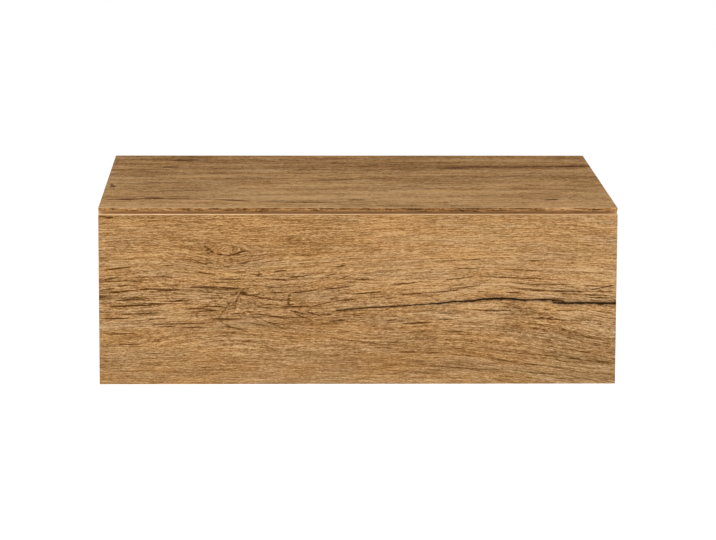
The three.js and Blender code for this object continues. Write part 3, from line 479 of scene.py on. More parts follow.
# Dark lines: start, end, thickness in millimetres and darkness
FRONT_LINES = [
    ((104, 269.6), (131, 266.3), 1.2, 0.9),
    ((159, 265.4), (175, 264.8), 1.0, 0.6),
    ((176, 257.4), (204, 260.8), 1.0, 0.7),
    ((194, 260.4), (208, 264.6), 1.0, 0.7),
    ((192, 271.0), (218, 274.3), 1.0, 0.7),
    ((151, 276.4), (170, 276.0), 1.0, 0.6),
    ((101, 279.6), (123, 276.2), 1.0, 0.6),
    ((124, 282.0), (144, 281.0), 1.0, 0.7),
    ((114, 285.7), (131, 284.3), 0.9, 0.5),
    ((99, 289.6), (116, 287.7), 1.1, 0.7),
    ((133, 288.8), (165, 288.6), 1.2, 0.8),
    ((155, 290.4), (182, 289.2), 1.5, 1.2),
    ((189, 286.4), (222, 287.4), 1.4, 1.3),
    ((214, 287.0), (246, 288.5), 1.3, 1.2),
    ((103, 292.7), (133, 290.6), 1.1, 0.7),
    ((112, 300.3), (149, 298.3), 1.3, 1.0),
    ((162, 301.0), (193, 300.0), 1.2, 0.9),
    ((103, 306.2), (165, 304.2), 1.5, 1.2),
    ((183, 308.8), (206, 308.0), 1.3, 1.4),
    ((194, 310.6), (224, 310.3), 1.0, 0.6),
    ((116, 314.2), (163, 312.2), 1.1, 0.7),
    ((96, 317.6), (130, 318.1), 1.4, 0.9),
    ((144, 318.5), (168, 318.3), 1.0, 0.7),
    ((206, 318.4), (242, 318.5), 1.3, 0.9),
    ((148, 324.0), (217, 322.2), 1.2, 0.9),
    ((155, 326.6), (177, 325.8), 1.0, 0.6),
    ((178, 326.8), (206, 326.6), 1.1, 0.6),
    ((103, 333.6), (140, 333.0), 1.1, 0.9),
    ((115, 344.0), (145, 343.2), 1.0, 0.7),
    ((142, 353.0), (165, 353.4), 0.9, 0.5),
    ((214, 252.9), (231, 256.0), 1.2, 1.1),
    ((226, 256.0), (247, 250.0), 1.2, 1.1),
    ((222, 265.9), (233, 265.6), 1.1, 0.8),
    ((236, 263.5), (248, 262.6), 1.0, 0.7),
    ((232, 271.6), (248, 271.4), 0.9, 0.6),
    ((217, 278.5), (242, 278.9), 1.1, 0.8),
    ((262, 278.0), (290, 279.6), 1.1, 0.8),
    ((286, 277.9), (309, 274.7), 1.3, 0.9),
    ((271, 272.0), (287, 269.6), 1.1, 0.7),
    ((246, 294.5), (272, 298.8), 1.0, 0.5),
    ((266, 298.8), (289, 300.0), 1.1, 0.8),
    ((254, 305.8), (274, 308.4), 1.1, 0.7),
    ((252, 313.6), (268, 314.7), 1.0, 0.8),
    ((266, 314.6), (290, 318.8), 1.1, 0.8),
    ((199, 272.4), (214, 273.6), 1.0, 0.8),
    ((247, 272.8), (264, 276.4), 1.0, 0.8),
    ((255, 274.2), (263, 273.8), 1.0, 0.6),
    ((198, 297.4), (229, 297.8), 1.0, 0.9),
    ((207, 301.6), (219, 300.6), 0.9, 0.6),
    ((196, 306.0), (231, 306.4), 1.1, 1.1),
    ((199, 308.6), (220, 310.2), 1.0, 0.8),
    ((223, 302.8), (237, 302.4), 0.9, 0.5),
    ((229, 313.4), (246, 312.6), 0.9, 0.5),
    ((238, 293.8), (256, 295.4), 1.0, 0.4),
    ((200, 291.8), (226, 293.2), 0.9, 0.6),
    ((205, 281.8), (236, 282.4), 0.9, 0.5),
    ((200, 263.6), (214, 262.4), 0.9, 0.6),
    ((262, 286.4), (284, 287.2), 0.9, 0.5),
    ((268, 292.0), (288, 292.4), 0.9, 0.5),
    ((258, 303.4), (284, 304.8), 0.9, 0.5),
    ((292, 312.2), (312, 320.4), 0.9, 0.6),
    ((302, 309.8), (322, 316.0), 0.9, 0.6),
    ((246, 322.2), (268, 325.4), 0.9, 0.6),
    ((262, 320.6), (286, 325.0), 0.9, 0.5),
    ((220, 325.6), (246, 328.8), 0.9, 0.5),
    ((337, 279.6), (352, 273.8), 0.9, 0.5),
    ((336, 266.2), (346, 264.4), 1.0, 0.7),
    ((324, 275.6), (338, 272.8), 0.9, 0.5),
    ((289, 292.8), (321, 289.0), 1.2, 1.0),
    ((316, 289.9), (354, 285.5), 1.1, 0.9),
    ((281, 305.8), (313, 306.0), 1.2, 1.0),
    ((308, 306.6), (334, 300.2), 1.1, 0.8),
    ((331, 301.0), (360, 297.8), 1.1, 0.9),
    ((350, 294.0), (384, 290.8), 1.1, 1.0),
    ((354, 279.4), (370, 278.6), 1.0, 0.8),
    ((391, 284.0), (417, 282.0), 1.2, 0.9),
    ((396, 294.7), (432, 292.0), 1.1, 0.8),
    ((383, 298.1), (397, 296.9), 1.0, 0.7),
    ((321, 314.3), (334, 313.6), 1.1, 0.8),
    ((327, 321.4), (347, 319.4), 1.0, 0.6),
    ((399, 323.2), (434, 321.8), 1.1, 0.8),
    ((286, 309.2), (307, 314.2), 1.1, 0.7),
    ((476, 275.8), (522, 277.4), 1.1, 0.8),
    ((514, 277.4), (545, 278.3), 1.2, 1.1),
    ((440, 280.4), (476, 275.4), 1.0, 0.7),
    ((428, 261.4), (458, 259.8), 0.9, 0.6),
    ((454, 260.0), (488, 258.0), 0.9, 0.7),
    ((512, 260.8), (556, 259.0), 0.9, 0.6),
    ((447, 288.8), (482, 284.8), 1.0, 0.7),
    ((512, 288.0), (543, 289.0), 0.9, 0.6),
    ((505, 291.9), (521, 292.1), 1.1, 1.0),
    ((474, 290.6), (494, 292.0), 0.9, 0.5),
    ((528, 290.0), (548, 290.2), 1.2, 1.0),
    ((543, 290.3), (592, 291.0), 1.3, 1.2),
    ((588, 290.4), (616, 291.6), 0.9, 0.6),
    ((556, 293.4), (584, 293.4), 1.0, 0.9),
    ((578, 293.6), (612, 295.2), 1.1, 1.0),
    ((582, 296.6), (616, 297.6), 1.1, 0.9),
    ((524, 284.0), (574, 284.2), 0.9, 0.6),
    ((580, 286.0), (600, 285.6), 0.9, 0.5),
    ((428, 292.8), (463, 288.8), 0.9, 0.7),
    ((541, 309.0), (551, 309.0), 1.0, 0.8),
    ((554, 309.4), (577, 310.4), 1.0, 0.8),
    ((538, 316.8), (545, 317.2), 1.0, 0.8),
    ((546, 318.0), (553, 316.8), 1.0, 0.8),
    ((438, 312.8), (452, 312.8), 0.9, 0.7),
    ((530, 317.4), (566, 319.6), 1.0, 0.7),
    ((434, 318.4), (455, 318.8), 1.0, 0.8),
    ((386, 319.4), (404, 319.6), 0.9, 0.6),
    ((340, 313.8), (366, 315.2), 0.9, 0.6),
    ((440, 268.8), (490, 267.2), 0.8, 0.5),
    ((372, 270.8), (410, 268.6), 0.8, 0.4),
    ((500, 268.8), (548, 270.2), 0.8, 0.5),
    ((588, 290.0), (616, 283.8), 1.1, 0.9),
    ((440, 330.0), (468, 331.6), 0.9, 0.5),
    ((480, 310.4), (513, 310.2), 1.0, 0.7),
    ((508, 310.2), (543, 310.8), 0.9, 0.5),
    ((98, 215.6), (107, 216.0), 1.1, 1.2),
    ((104, 217.6), (113, 216.8), 1.4, 1.1),
]
# Long soft lines below the crack: points, thickness in millimetres and darkness
FRONT_VEINS = [
    ([(462, 321.0), (482, 323.8)], 0.8, 0.5),
    ([(560, 319.6), (588, 320.2)], 0.9, 0.6),
    ([(530, 327.0), (538, 328.2)], 0.8, 0.7),
    ([(594, 322.2), (602, 324.0)], 0.8, 0.6),
    ([(545, 344.8), (557, 347.0)], 0.8, 0.6),
    ([(558, 347.2), (580, 350.8), (606, 356.4)], 0.8, 0.5),
    ([(566, 356.4), (584, 359.8), (616, 362.6)], 1.2, 0.8),
    ([(502, 351.0), (532, 354.2), (566, 355.8)], 0.8, 0.5),
    ([(527, 357.4), (552, 358.2), (566, 361.2)], 0.8, 0.5),
    ([(494, 358.0), (517, 362.4), (547, 365.3), (575, 370.5), (613, 374.5)], 0.8, 0.65),
    ([(440, 365.4), (465, 368.3), (512, 369.0)], 0.8, 0.5),
    ([(527, 371.8), (565, 374.3), (603, 381.8)], 0.8, 0.6),
    ([(540, 368.0), (573, 371.8)], 0.7, 0.4),
    ([(440, 361.2), (478, 361.0)], 0.8, 0.4),
    ([(454, 354.2), (478, 356.2)], 0.9, 0.5),
    ([(480, 347.4), (511, 350.8)], 0.8, 0.5),
    ([(482, 362.4), (500, 363.0)], 0.8, 0.5),
    ([(467, 373.0), (493, 373.6)], 0.8, 0.5),
    ([(498, 375.4), (512, 376.1)], 0.8, 0.4),
    ([(552, 376.8), (578, 380.5)], 0.8, 0.5),
    ([(447, 380.5), (466, 381.8)], 0.7, 0.4),
    ([(336, 332.0), (350, 331.0)], 0.8, 0.6),
    ([(330, 337.5), (356, 340.5), (387, 344.6)], 0.8, 0.55),
    ([(368, 325.6), (385, 326.0)], 0.8, 0.4),
    ([(375, 328.0), (390, 328.6), (399, 332.6)], 0.7, 0.45),
    ([(423, 334.0), (446, 333.0)], 0.9, 0.5),
    ([(402, 337.0), (427, 338.0)], 0.8, 0.4),
    ([(412, 340.6), (436, 340.2)], 0.8, 0.4),
    ([(446, 338.5), (450, 341.5)], 0.8, 0.5),
    ([(376, 347.0), (394, 348.0), (417, 346.5), (437, 348.6), (462, 348.0)], 0.8, 0.45),
    ([(403, 351.5), (417, 351.0)], 0.7, 0.4),
    ([(426, 352.6), (437, 352.4)], 0.9, 0.6),
    ([(353, 351.5), (371, 353.6)], 0.8, 0.4),
    ([(400, 361.0), (430, 361.2)], 0.8, 0.4),
    ([(416, 364.0), (440, 366.0), (472, 368.6)], 0.8, 0.5),
    ([(422, 369.0), (441, 369.5)], 0.9, 0.7),
    ([(393, 373.0), (403, 371.4), (442, 372.8)], 0.8, 0.55),
    ([(376, 373.5), (385, 374.0)], 0.8, 0.5),
    ([(355, 378.0), (371, 378.5)], 0.8, 0.4),
]
# Arcs of the two knots, most of which cross the grain: points, thickness in millimetres and darkness
KNOT_ARCS = [
    ([(243.0, 289.0), (239.6, 294.4), (236.8, 298.2), (235.0, 302.4), (234.4, 309.6)], 1.3, 0.9),
    ([(229.4, 301.8), (226.8, 305.6), (224.2, 309.8), (220.6, 313.4), (219.0, 317.6)], 1.3, 0.8),
    ([(227.4, 310.6), (226.0, 317.8)], 1.2, 0.5),
    ([(240.0, 296.6), (240.6, 302.4)], 1.0, 0.5),
    ([(244.0, 293.4), (246.8, 297.6), (247.4, 301.4)], 1.0, 0.5),
    ([(254.4, 300.2), (254.6, 305.4), (252.6, 311.0)], 1.3, 0.6),
    ([(250.6, 313.6), (253.4, 317.2), (256.6, 319.8), (262.0, 325.0)], 1.2, 0.5),
    ([(289.4, 293.6), (288.2, 297.0), (287.6, 301.0), (288.4, 305.0)], 2.0, 1.3),
    ([(272.8, 296.0), (272.2, 302.4)], 1.0, 0.4),
    ([(299.0, 284.0), (299.6, 290.0)], 1.0, 0.5),
    ([(263.2, 294.0), (261.0, 297.4)], 1.0, 0.5),
    ([(203.6, 245.4), (208.0, 248.6), (213.4, 252.4)], 1.6, 0.9),
    ([(206.6, 253.6), (214.6, 254.2)], 1.4, 0.6),
    ([(230.6, 244.0), (234.6, 248.2)], 1.2, 0.5),
    ([(198.6, 309.6), (195.8, 313.8), (197.4, 318.8)], 1.2, 0.7),
    ([(211.4, 299.6), (207.2, 304.4), (206.4, 308.6)], 1.2, 0.6),
    ([(210.0, 313.4), (211.6, 317.4), (214.8, 321.4)], 1.2, 0.6),
    ([(236.2, 309.8), (237.6, 314.0), (241.4, 318.2)], 1.2, 0.7),
    ([(249.4, 286.6), (244.6, 291.6)], 1.3, 0.7),
    ([(217.4, 318.8), (224.0, 323.6), (231.4, 327.2), (243.8, 330.0)], 1.2, 0.8),
    ([(256.0, 315.8), (263.0, 319.6), (270.4, 323.2), (284.0, 328.4)], 1.2, 0.8),
    ([(247.4, 306.6), (248.2, 311.2), (252.4, 315.0)], 1.2, 0.6),
]

# The top's patches, with their places in the photograph's pixels. The two that span the whole width are painted
# light and shade: they make the top darker at its back and lighter towards its front.
TOP_PATCHES = [
    ((480, 166.4), (140, 11), -0.34),
    ((357, 157), (400, 12), -0.12),
    ((190, 162), (26, 18), -0.12),
    ((150, 176), (70, 40), 0.07),
    ((390, 184), (120, 26), 0.06),
    ((357, 198), (400, 50), 0.2),
]
# Where the top's fibres are long and dark, in the photograph's pixels
TOP_STREAKY = [
    ((357, 162), (260, 60), 0.34),
    ((357, 200), (260, 40), 0.34),
]
# Painted shade and light on the mitred edge under the top's front arris, in millimetres on the board: darker just
# under the arris, and lighter low in the groove to lift the shade there
TOP_FOLD_PAINTED_SHADE = [
    ((0, -351.3), (2000, 1.3), -0.4),
    ((0, -357.0), (2000, 2.6), 0.9),
]
# Painted highlights along the arris and along the mitre's inner side, in millimetres on the board
TOP_PAINTED_HIGHLIGHTS = [
    ((0, -347.0), (2000, 1.7), 0.4),
    ((0, -356.4), (2000, 0.6), 0.9),
]
# Where the top is more golden, in millimetres on the board
TOP_WARMTH = [
    ((0, -175), (2000, 2000), 0.3),
    ((0, -354), (2000, 3), 0.7),
]
# Dark lines on the mitre, in the photograph's pixels
TOP_FOLD_LINES = [
    ((107, 208.1), (118, 208.1), 0.7, 0.6),
    ((117, 209.8), (144, 210.0), 0.8, 0.9),
    ((152, 211.3), (170, 211.2), 0.8, 0.9),
    ((155, 209.6), (166, 209.5), 0.7, 0.6),
    ((162, 208.2), (173, 208.3), 0.7, 0.6),
    ((172, 211.6), (187, 211.5), 0.8, 0.9),
    ((180, 208.3), (196, 208.4), 0.8, 0.8),
    ((192, 210.0), (208, 209.9), 0.8, 0.7),
    ((207, 208.1), (222, 208.0), 0.8, 0.8),
    ((221, 209.6), (236, 209.8), 1.0, 1.0),
    ((232, 210.9), (244, 210.7), 0.7, 0.6),
    ((250, 208.1), (275, 208.0), 0.7, 0.6),
    ((249, 211.0), (271, 211.0), 0.8, 0.8),
    ((268, 210.6), (286, 210.7), 0.8, 0.6),
    ((285, 210.1), (305, 209.0), 0.8, 0.8),
    ((304, 208.3), (312, 208.1), 0.7, 0.6),
    ((308, 209.7), (326, 210.0), 0.8, 0.9),
    ((318, 208.2), (336, 208.0), 0.7, 0.7),
    ((322, 211.4), (351, 211.6), 0.8, 0.9),
    ((336, 208.4), (351, 209.6), 0.8, 0.7),
    ((361, 208.2), (377, 208.1), 0.8, 0.9),
    ((364, 209.6), (383, 209.4), 0.8, 0.9),
    ((365, 211.6), (381, 211.6), 0.7, 0.7),
    ((380, 208.5), (393, 208.3), 0.7, 0.6),
    ((402, 208.9), (423, 208.5), 0.9, 0.9),
    ((416, 210.8), (433, 211.0), 0.8, 0.8),
    ((432, 211.4), (448, 211.4), 0.7, 0.8),
    ((426, 208.4), (438, 208.2), 0.7, 0.6),
    ((447, 208.4), (457, 208.8), 0.7, 0.6),
    ((455, 209.3), (471, 210.7), 0.8, 0.8),
    ((471, 210.9), (481, 211.6), 0.9, 0.9),
    ((482, 208.3), (493, 208.1), 0.7, 0.6),
    ((487, 210.5), (507, 210.2), 0.8, 0.9),
    ((505, 211.6), (521, 211.6), 0.8, 0.9),
    ((510, 208.4), (531, 208.4), 0.7, 0.7),
    ((525, 210.2), (550, 210.0), 0.9, 1.0),
    ((549, 208.6), (571, 210.1), 0.9, 0.9),
    ((570, 211.3), (588, 211.5), 0.8, 0.9),
    ((572, 208.3), (588, 208.1), 0.7, 0.7),
    ((586, 209.5), (606, 208.9), 0.9, 0.9),
    ((603, 211.4), (611, 210.6), 0.8, 0.7),
]
# Dark lines on the top, in the photograph's pixels
TOP_LINES = [
    ((103, 199.4), (142, 198.6), 5.5, 1.5),
    ((138, 198.2), (165, 197.6), 6.5, 1.9),
    ((158, 198.2), (218, 198.8), 4.0, 1.0),
    ((212, 199.0), (252, 200.6), 5.0, 1.4),
    ((240, 201.0), (345, 202.2), 4.0, 0.6),
    ((152, 166.8), (184, 166.2), 8.0, 0.6),
    ((170, 160.4), (202, 159.2), 9.0, 0.5),
    ((295, 180.0), (364, 178.8), 7.0, 0.5),
    ((430, 168.6), (496, 165.6), 9.0, 0.45),
    ((545, 165.4), (592, 165.8), 8.0, 0.4),
    ((395, 186.0), (425, 185.4), 6.0, 0.5),
    ((518, 183.8), (541, 184.6), 6.0, 0.5),
    ((346, 199.4), (366, 199.2), 6.0, 0.8),
    ((543, 199.4), (559, 199.0), 6.0, 0.8),
    ((110.4, 182.8), (113.2, 187.4), 2.4, 2.2),
    ((109.6, 187.0), (115.0, 185.4), 4.0, 1.4),
]


def board_place(graph, grain="x", fold=None):
    """Millimetres along, across and through the grain of a decor board, for each of its faces.

    The figure of a board with a fold goes on over its mitre, down from the height of the fold.
    """
    # A 45 degree mitre counts as flat, not as upright
    flat_limit = 0.45
    sideways_limit = 0.5
    x, y, z = graph.place()
    turn_x, _, turn_z = graph.coordinates("Normal")
    flat_across = y if fold is None else y - (fold - z) * 2.0
    upright = graph.join(x, z, y)
    flat = graph.join(x, flat_across, z) if grain == "x" else graph.join(y, x, z)
    sideways = graph.join(y, z, x)
    chosen = graph.choose((turn_z * turn_z).over(flat_limit), upright, flat)
    chosen = graph.choose((turn_x * turn_x).over(sideways_limit), chosen, sideways)
    return graph.split(chosen)


def crack_mark(graph, place, points):
    """How deep a long crack is at each spot, from 0 to 1, and a wider shade around it."""
    wander = 0.4
    mean_share = 0.85
    uneven_share = 0.8
    shade_share = 3.0
    along, across, _ = place
    left = points[0][0][0]
    run = points[-1][0][0] - left
    low = min(spot[1] for spot, _ in points)
    height = max(max(spot[1] for spot, _ in points) - low, 1.0)
    widest = max(width for _, width in points)
    share = (along - left) / run
    middle = graph.curve(share, [((s[0] - left) / run, (s[1] - low) / height) for s, _ in points])
    width = graph.curve(share, [((s[0] - left) / run, w / widest) for s, w in points]) * widest
    inside = share.over(0.0) * (1.0 - share.over(1.0))
    rough = graph.noise((along, across, 0.0), (5.0, 3.0, 1.0), detail=2.0, seed=20.0)
    distance = abs(across - (middle * height + low) + rough * wander)
    width = width * (rough * uneven_share + mean_share)
    core = (1.0 - distance / width).at_least(0.0) * inside
    shade = (1.0 - distance / (width * shade_share)).at_least(0.0) * inside
    return core, shade


def widened(cell, share):
    """The same cell with its width across the grain times a share."""
    length, width, depth = cell
    return length, width * share, depth


def oak(
    name,
    place_on,
    seed,
    rises=(),
    knots=(),
    patches=(),
    warmer=(),
    contrast=(),
    streaky=(),
    lines=(),
    cracks=(),
    mottled=None,
    painted_highlights=(),
    band_cell=(80, 5.0),
    band_depth=0.15,
    fibre_width=1.0,
    torn=0.0,
    raw_edge=True,
):
    """Rustic oak decor, with the painted shade and highlights that its patches and painted_highlights may add. The
    figure's spots and reaches are in millimetres on the board.

    Torn is how much single fibres break up the drawn lines. A raw edge is bare chipboard at the board's rear.
    """
    graph = Graph(name)
    along, across, through = place_on(graph)
    spot = graph.join(along, across)
    board = (along, across, through + seed * BOARD_STEP)

    # The grain's flow
    drift = graph.noise(board, DRIFT_CELL, detail=1.0) * DRIFT_HEIGHT
    curl = graph.noise(board, CURL_CELL, detail=1.0, seed=4.0) * graph.bells(spot, knots, CURL_HEIGHT)
    swell = graph.bells(spot, rises, drift + curl)
    flow = (along, across - swell, board[2])

    # Tone, from broad bands to single fibres
    broad = graph.noise(flow, BROAD_CELL, detail=1.0, seed=1.0) * BROAD_SHARE
    # Patches set the tone; on the top they also paint shade and light
    region = graph.bells(spot, patches, broad + OAK_MIDDLE)
    bands = graph.noise(flow, (*band_cell, BAND_CELL_DEPTH), detail=1.0, seed=2.0) * band_depth
    fibres = graph.noise(flow, widened(FIBRE_CELL, fibre_width), detail=0.0, seed=3.0) * FIBRE_SHARE
    flecks = graph.noise(flow, widened(FLECK_CELL, fibre_width), detail=0.0, seed=5.0) * FLECK_SHARE
    pores = graph.noise(flow, widened(PORE_CELL, fibre_width), detail=0.0, seed=13.0) * PORE_SHARE
    grain = bands + fibres + flecks + pores
    if contrast:
        grain = grain * graph.bells(spot, contrast, 1.0)
    tone = region + grain

    # Long dark fibres
    long_run = graph.noise(flow, LONG_FIBRE_CELL, detail=1.0, seed=6.0)
    if streaky:
        where = graph.bells(spot, streaky, 0.07)
    else:
        where = graph.noise(flow, (160, 30, 90), seed=7.0).ease(0.05, 0.5) + 0.1
    streaks = long_run.ease(0.16, 0.42) * where.at_most(1.0)

    # Lines that the board's figure draws, with ragged outlines
    ragged_along = along + graph.noise(board, (3.0, 1.6, 9), detail=1.0, seed=8.0) * 0.9
    ragged_across = across + graph.noise(board, (9.0, 4.0, 9), detail=1.0, seed=9.0) * 0.45
    marks = streaks * LONG_FIBRE_SHARE
    if lines:
        drawn = graph.strokes(ragged_along, ragged_across, lines).at_most(1.0)
        if torn:
            drawn = drawn * (1.0 - fibres.ease(-0.05, 0.2) * torn)
        marks = marks.at_least(drawn)
    tone = tone - marks * MARK_SHARE

    if mottled:
        specks = graph.noise(board, (1.3, 1.1, 20), detail=1.0, seed=10.0).ease(0.05, 0.5)
        tone = tone - specks * graph.bell(spot, *mottled) * SPECK_SHARE

    colour = graph.ramp(tone, OAK_TONES)
    warmth = graph.bells(spot, warmer, graph.noise(flow, (60, 9, 60), detail=1.0, seed=11.0)).ease(-0.7, 0.7)
    colour = graph.blend(1.0, colour, graph.blend(warmth, GREYED, GOLDEN), "MULTIPLY")

    height = (fibres + flecks + pores).ease(-0.5, 0.3)
    for points in cracks:
        core, shade = crack_mark(graph, (ragged_along, ragged_across, through), points)
        colour = graph.blend(shade.ease(0.0, 1.0) * 0.6, colour, OAK_TONES[0][1])
        colour = graph.blend(core.ease(0.15, 0.65), colour, CRACK_COLOUR)
        height = height * (1.0 - core.ease(0.0, 0.7))
    # Painted highlights, blended toward the edge band's brightest colour
    if painted_highlights:
        colour = graph.blend(graph.bells(spot, painted_highlights, 0.0), colour, EDGE_BAND_HIGHLIGHT_TONES[1][1])

    if raw_edge:
        chips = graph.noise(board, (3.2, 1.5, 1.5), detail=2.0, roughness=0.7, seed=12.0)
        facing_back = graph.coordinates("Normal")[1].over(0.5)
        colour = graph.blend(facing_back, colour, graph.ramp(chips.ease(-0.5, 0.5), CHIPBOARD_TONES))

    graph.bump(height, OAK_RELIEF)
    roughness = OAK_ROUGHNESS - height * 0.1
    return graph.finish(colour, roughness, Specular_IOR_Level=OAK_SPECULAR)


def on_front(pixel):
    return front_spot(*pixel)


def on_top(pixel):
    return top_spot(*pixel)


def on_fold(pixel):
    return fold_spot(*pixel)


def figure(spot_of, entries):
    """The same entries with their first pixel turned into a spot of the board."""
    return [(spot_of(entry[0]), *entry[1:]) for entry in entries]


def drawn_lines(spot_of, entries, thickness_share=1.0, darkness_share=1.0):
    """Lines on the board. A darkness over 1 is cut off at 1, which keeps a line dark up to its ends."""
    return [
        (spot_of(start), spot_of(end), thick * thickness_share, dark * darkness_share)
        for start, end, thick, dark in entries
    ]


def chords(arcs):
    """The straight lines that arcs are made of.

    Each reaches a little past its ends, so that an arc has no gaps.
    """
    overlap_share = 0.25
    lines = []
    for points, thickness, darkness in arcs:
        for start, end in zip(points, points[1:]):
            reach = (Vector(end) - Vector(start)) * overlap_share
            lines.append((Vector(start) - reach, Vector(end) + reach, thickness, darkness))
    return lines


def front_oak():
    return oak(
        "oak_drawer_front",
        board_place,
        seed=1,
        rises=figure(on_front, FRONT_RISES),
        knots=figure(on_front, FRONT_KNOTS),
        patches=figure(on_front, FRONT_PATCHES),
        warmer=figure(on_front, FRONT_WARMTH),
        contrast=figure(on_front, FRONT_CONTRAST),
        streaky=figure(on_front, FRONT_STREAKY),
        lines=drawn_lines(on_front, FRONT_LINES, *FRONT_LINE_SHARES)
        + drawn_lines(on_front, chords(FRONT_VEINS), *VEIN_SHARES)
        + drawn_lines(on_front, chords(KNOT_ARCS), *ARC_SHARES),
        cracks=[figure(on_front, points) for points in FRONT_CRACKS],
        mottled=(on_front(FRONT_MOTTLED[0]), FRONT_MOTTLED[1]),
        raw_edge=False,
    )


def top_oak():
    return oak(
        "oak_top",
        lambda graph: board_place(graph, fold=TOP_FACE / MILLIMETRE),
        seed=2,
        patches=figure(on_top, TOP_PATCHES) + TOP_FOLD_PAINTED_SHADE,
        warmer=TOP_WARMTH,
        streaky=figure(on_top, TOP_STREAKY),
        lines=drawn_lines(on_top, TOP_LINES, *TOP_LINE_SHARES) + drawn_lines(on_fold, TOP_FOLD_LINES),
        painted_highlights=TOP_PAINTED_HIGHLIGHTS,
        band_cell=(130, 22),
        band_depth=0.44,
        fibre_width=2.2,
        torn=0.6,
    )


def grown_figure(seed, along, across):
    """A figure of the same kind for a board that the photograph doesn't show.

    The board reaches along and across the grain between the two pairs of millimetres.
    """
    chance = random.Random(seed)

    def spot():
        return chance.uniform(*along), chance.uniform(*across)

    def somewhere(lengths, widths):
        """A spot of the board, and a reach along and across the grain."""
        return spot(), (chance.uniform(*lengths), chance.uniform(*widths))

    rises = [(*somewhere((50, 90), (25, 40)), chance.uniform(-11, 11)) for _ in range(3)]
    knot = spot()
    rises.append((knot, (12, 5), 6))
    patches = [(*somewhere((40, 90), (8, 20)), chance.uniform(-0.14, 0.1)) for _ in range(5)]
    patches.append((knot, (13, 6), -0.16))
    lines = []
    for _ in range(22):
        start = Vector(spot())
        reach = chance.uniform(14, 42)
        end = start + Vector((reach, 0))
        thickness = chance.uniform(0.5, 0.8)
        darkness = chance.uniform(1.0, 2.4)
        lines.append((raised(start, rises), raised(end, rises), thickness, darkness))
    return {
        "rises": rises,
        "knots": [(knot, (14, 9), 4.0)],
        "patches": patches,
        "lines": lines,
        "streaky": [(*somewhere((50, 90), (12, 24)), 0.8) for _ in range(3)],
    }


def raised(spot, rises):
    """Where the grain's flow takes a spot of the board."""
    lift = 0
    for centre, spread, height in rises:
        share = ((spot[0] - centre[0]) / spread[0]) ** 2 + ((spot[1] - centre[1]) / spread[1]) ** 2
        lift += height * math.exp(-share / 2)
    return spot[0], spot[1] + lift


def plain_oak(name, seed, grain="x"):
    low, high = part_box(name)
    along, across = ("x", "y") if grain == "x" else ("y", "z")
    extents = []
    for axis in (along, across):
        extents.append((getattr(low, axis) / MILLIMETRE, getattr(high, axis) / MILLIMETRE))
    return oak("oak_" + name, lambda graph: board_place(graph, grain), seed, **grown_figure(seed, *extents))


def edge_band_painted_highlight():
    """The edge band, coloured light as a painted highlight along the drawer front's top arris, which fades to the
    right.
    """
    highlight_fade_from, highlight_fade_to = -130.0, 0.0
    highlight_fade_share = 0.36
    graph = Graph("oak_edge_band")
    place = graph.place()
    fibres = graph.noise(place, (14, 0.6, 0.6), detail=2.0)
    highlight_fade = place[0].ease(highlight_fade_from, highlight_fade_to) * highlight_fade_share
    colour = graph.ramp(fibres.ease(-0.8, 0.8) - highlight_fade, EDGE_BAND_HIGHLIGHT_TONES)
    graph.bump(fibres.ease(-0.8, 0.8), 0.04)
    return graph.finish(colour, fibres * 0.06 + 0.5, Specular_IOR_Level=0.3)


def white_melamine():
    graph = Graph("white_melamine")
    place = graph.place()
    cloud = graph.noise(place, (60, 60, 60))
    peel = graph.noise(place, (1.6, 1.6, 1.6), detail=1.0)
    shades = [(0.0, linear(222, 220, 214)), (1.0, linear(233, 231, 226))]
    colour = graph.ramp(cloud.ease(-0.8, 0.8) * 0.7 + peel * 0.3, shades)
    graph.bump(peel.ease(-1.0, 1.0), 0.02)
    return graph.finish(colour, cloud * 0.05 + 0.42, Specular_IOR_Level=0.4)


def beech():
    graph = Graph("beech")
    place = graph.place()
    fibres = graph.noise(place, (6, 0.5, 0.5), detail=2.0)
    colour = graph.ramp(fibres.ease(-0.8, 0.8), [(0.0, linear(176, 134, 88)), (1.0, linear(221, 186, 140))])
    graph.bump(fibres.ease(-0.8, 0.8), 0.06)
    return graph.finish(colour, fibres * 0.08 + 0.7)


def metal(name, dark, light, lines, roughness, relief):
    """Bare metal. The lines are the cell of its rolling, drawing or casting marks, in millimetres."""
    graph = Graph(name)
    place = graph.place()
    marks = graph.noise(place, lines, detail=3.0, roughness=0.6)
    cloud = graph.noise(place, (14, 14, 14), seed=3.0)
    colour = graph.ramp((marks * 0.6 + cloud * 0.6).ease(-0.7, 0.7), [(0.0, dark), (1.0, light)])
    graph.bump(marks.ease(-0.9, 0.9), relief)
    return graph.finish(colour, marks * 0.08 + cloud * 0.06 + roughness, Metallic=1.0)


def plastic(name, dark, light, roughness):
    graph = Graph(name)
    place = graph.place()
    grain = graph.noise(place, (0.35, 0.35, 0.35), detail=2.0)
    cloud = graph.noise(place, (9, 9, 9), seed=2.0)
    colour = graph.ramp((grain * 0.3 + cloud * 0.7).ease(-0.7, 0.7), [(0.0, dark), (1.0, light)])
    graph.bump(grain.ease(-0.9, 0.9), 0.02)
    return graph.finish(colour, cloud * 0.05 + roughness)


# Arrises, in metres and radians
BOARD_ARRIS = 0.4 * MILLIMETRE
WELD_DISTANCE = 1e-6
SHARP_ANGLE = math.radians(32)
ARRIS_ANGLE = math.radians(40)


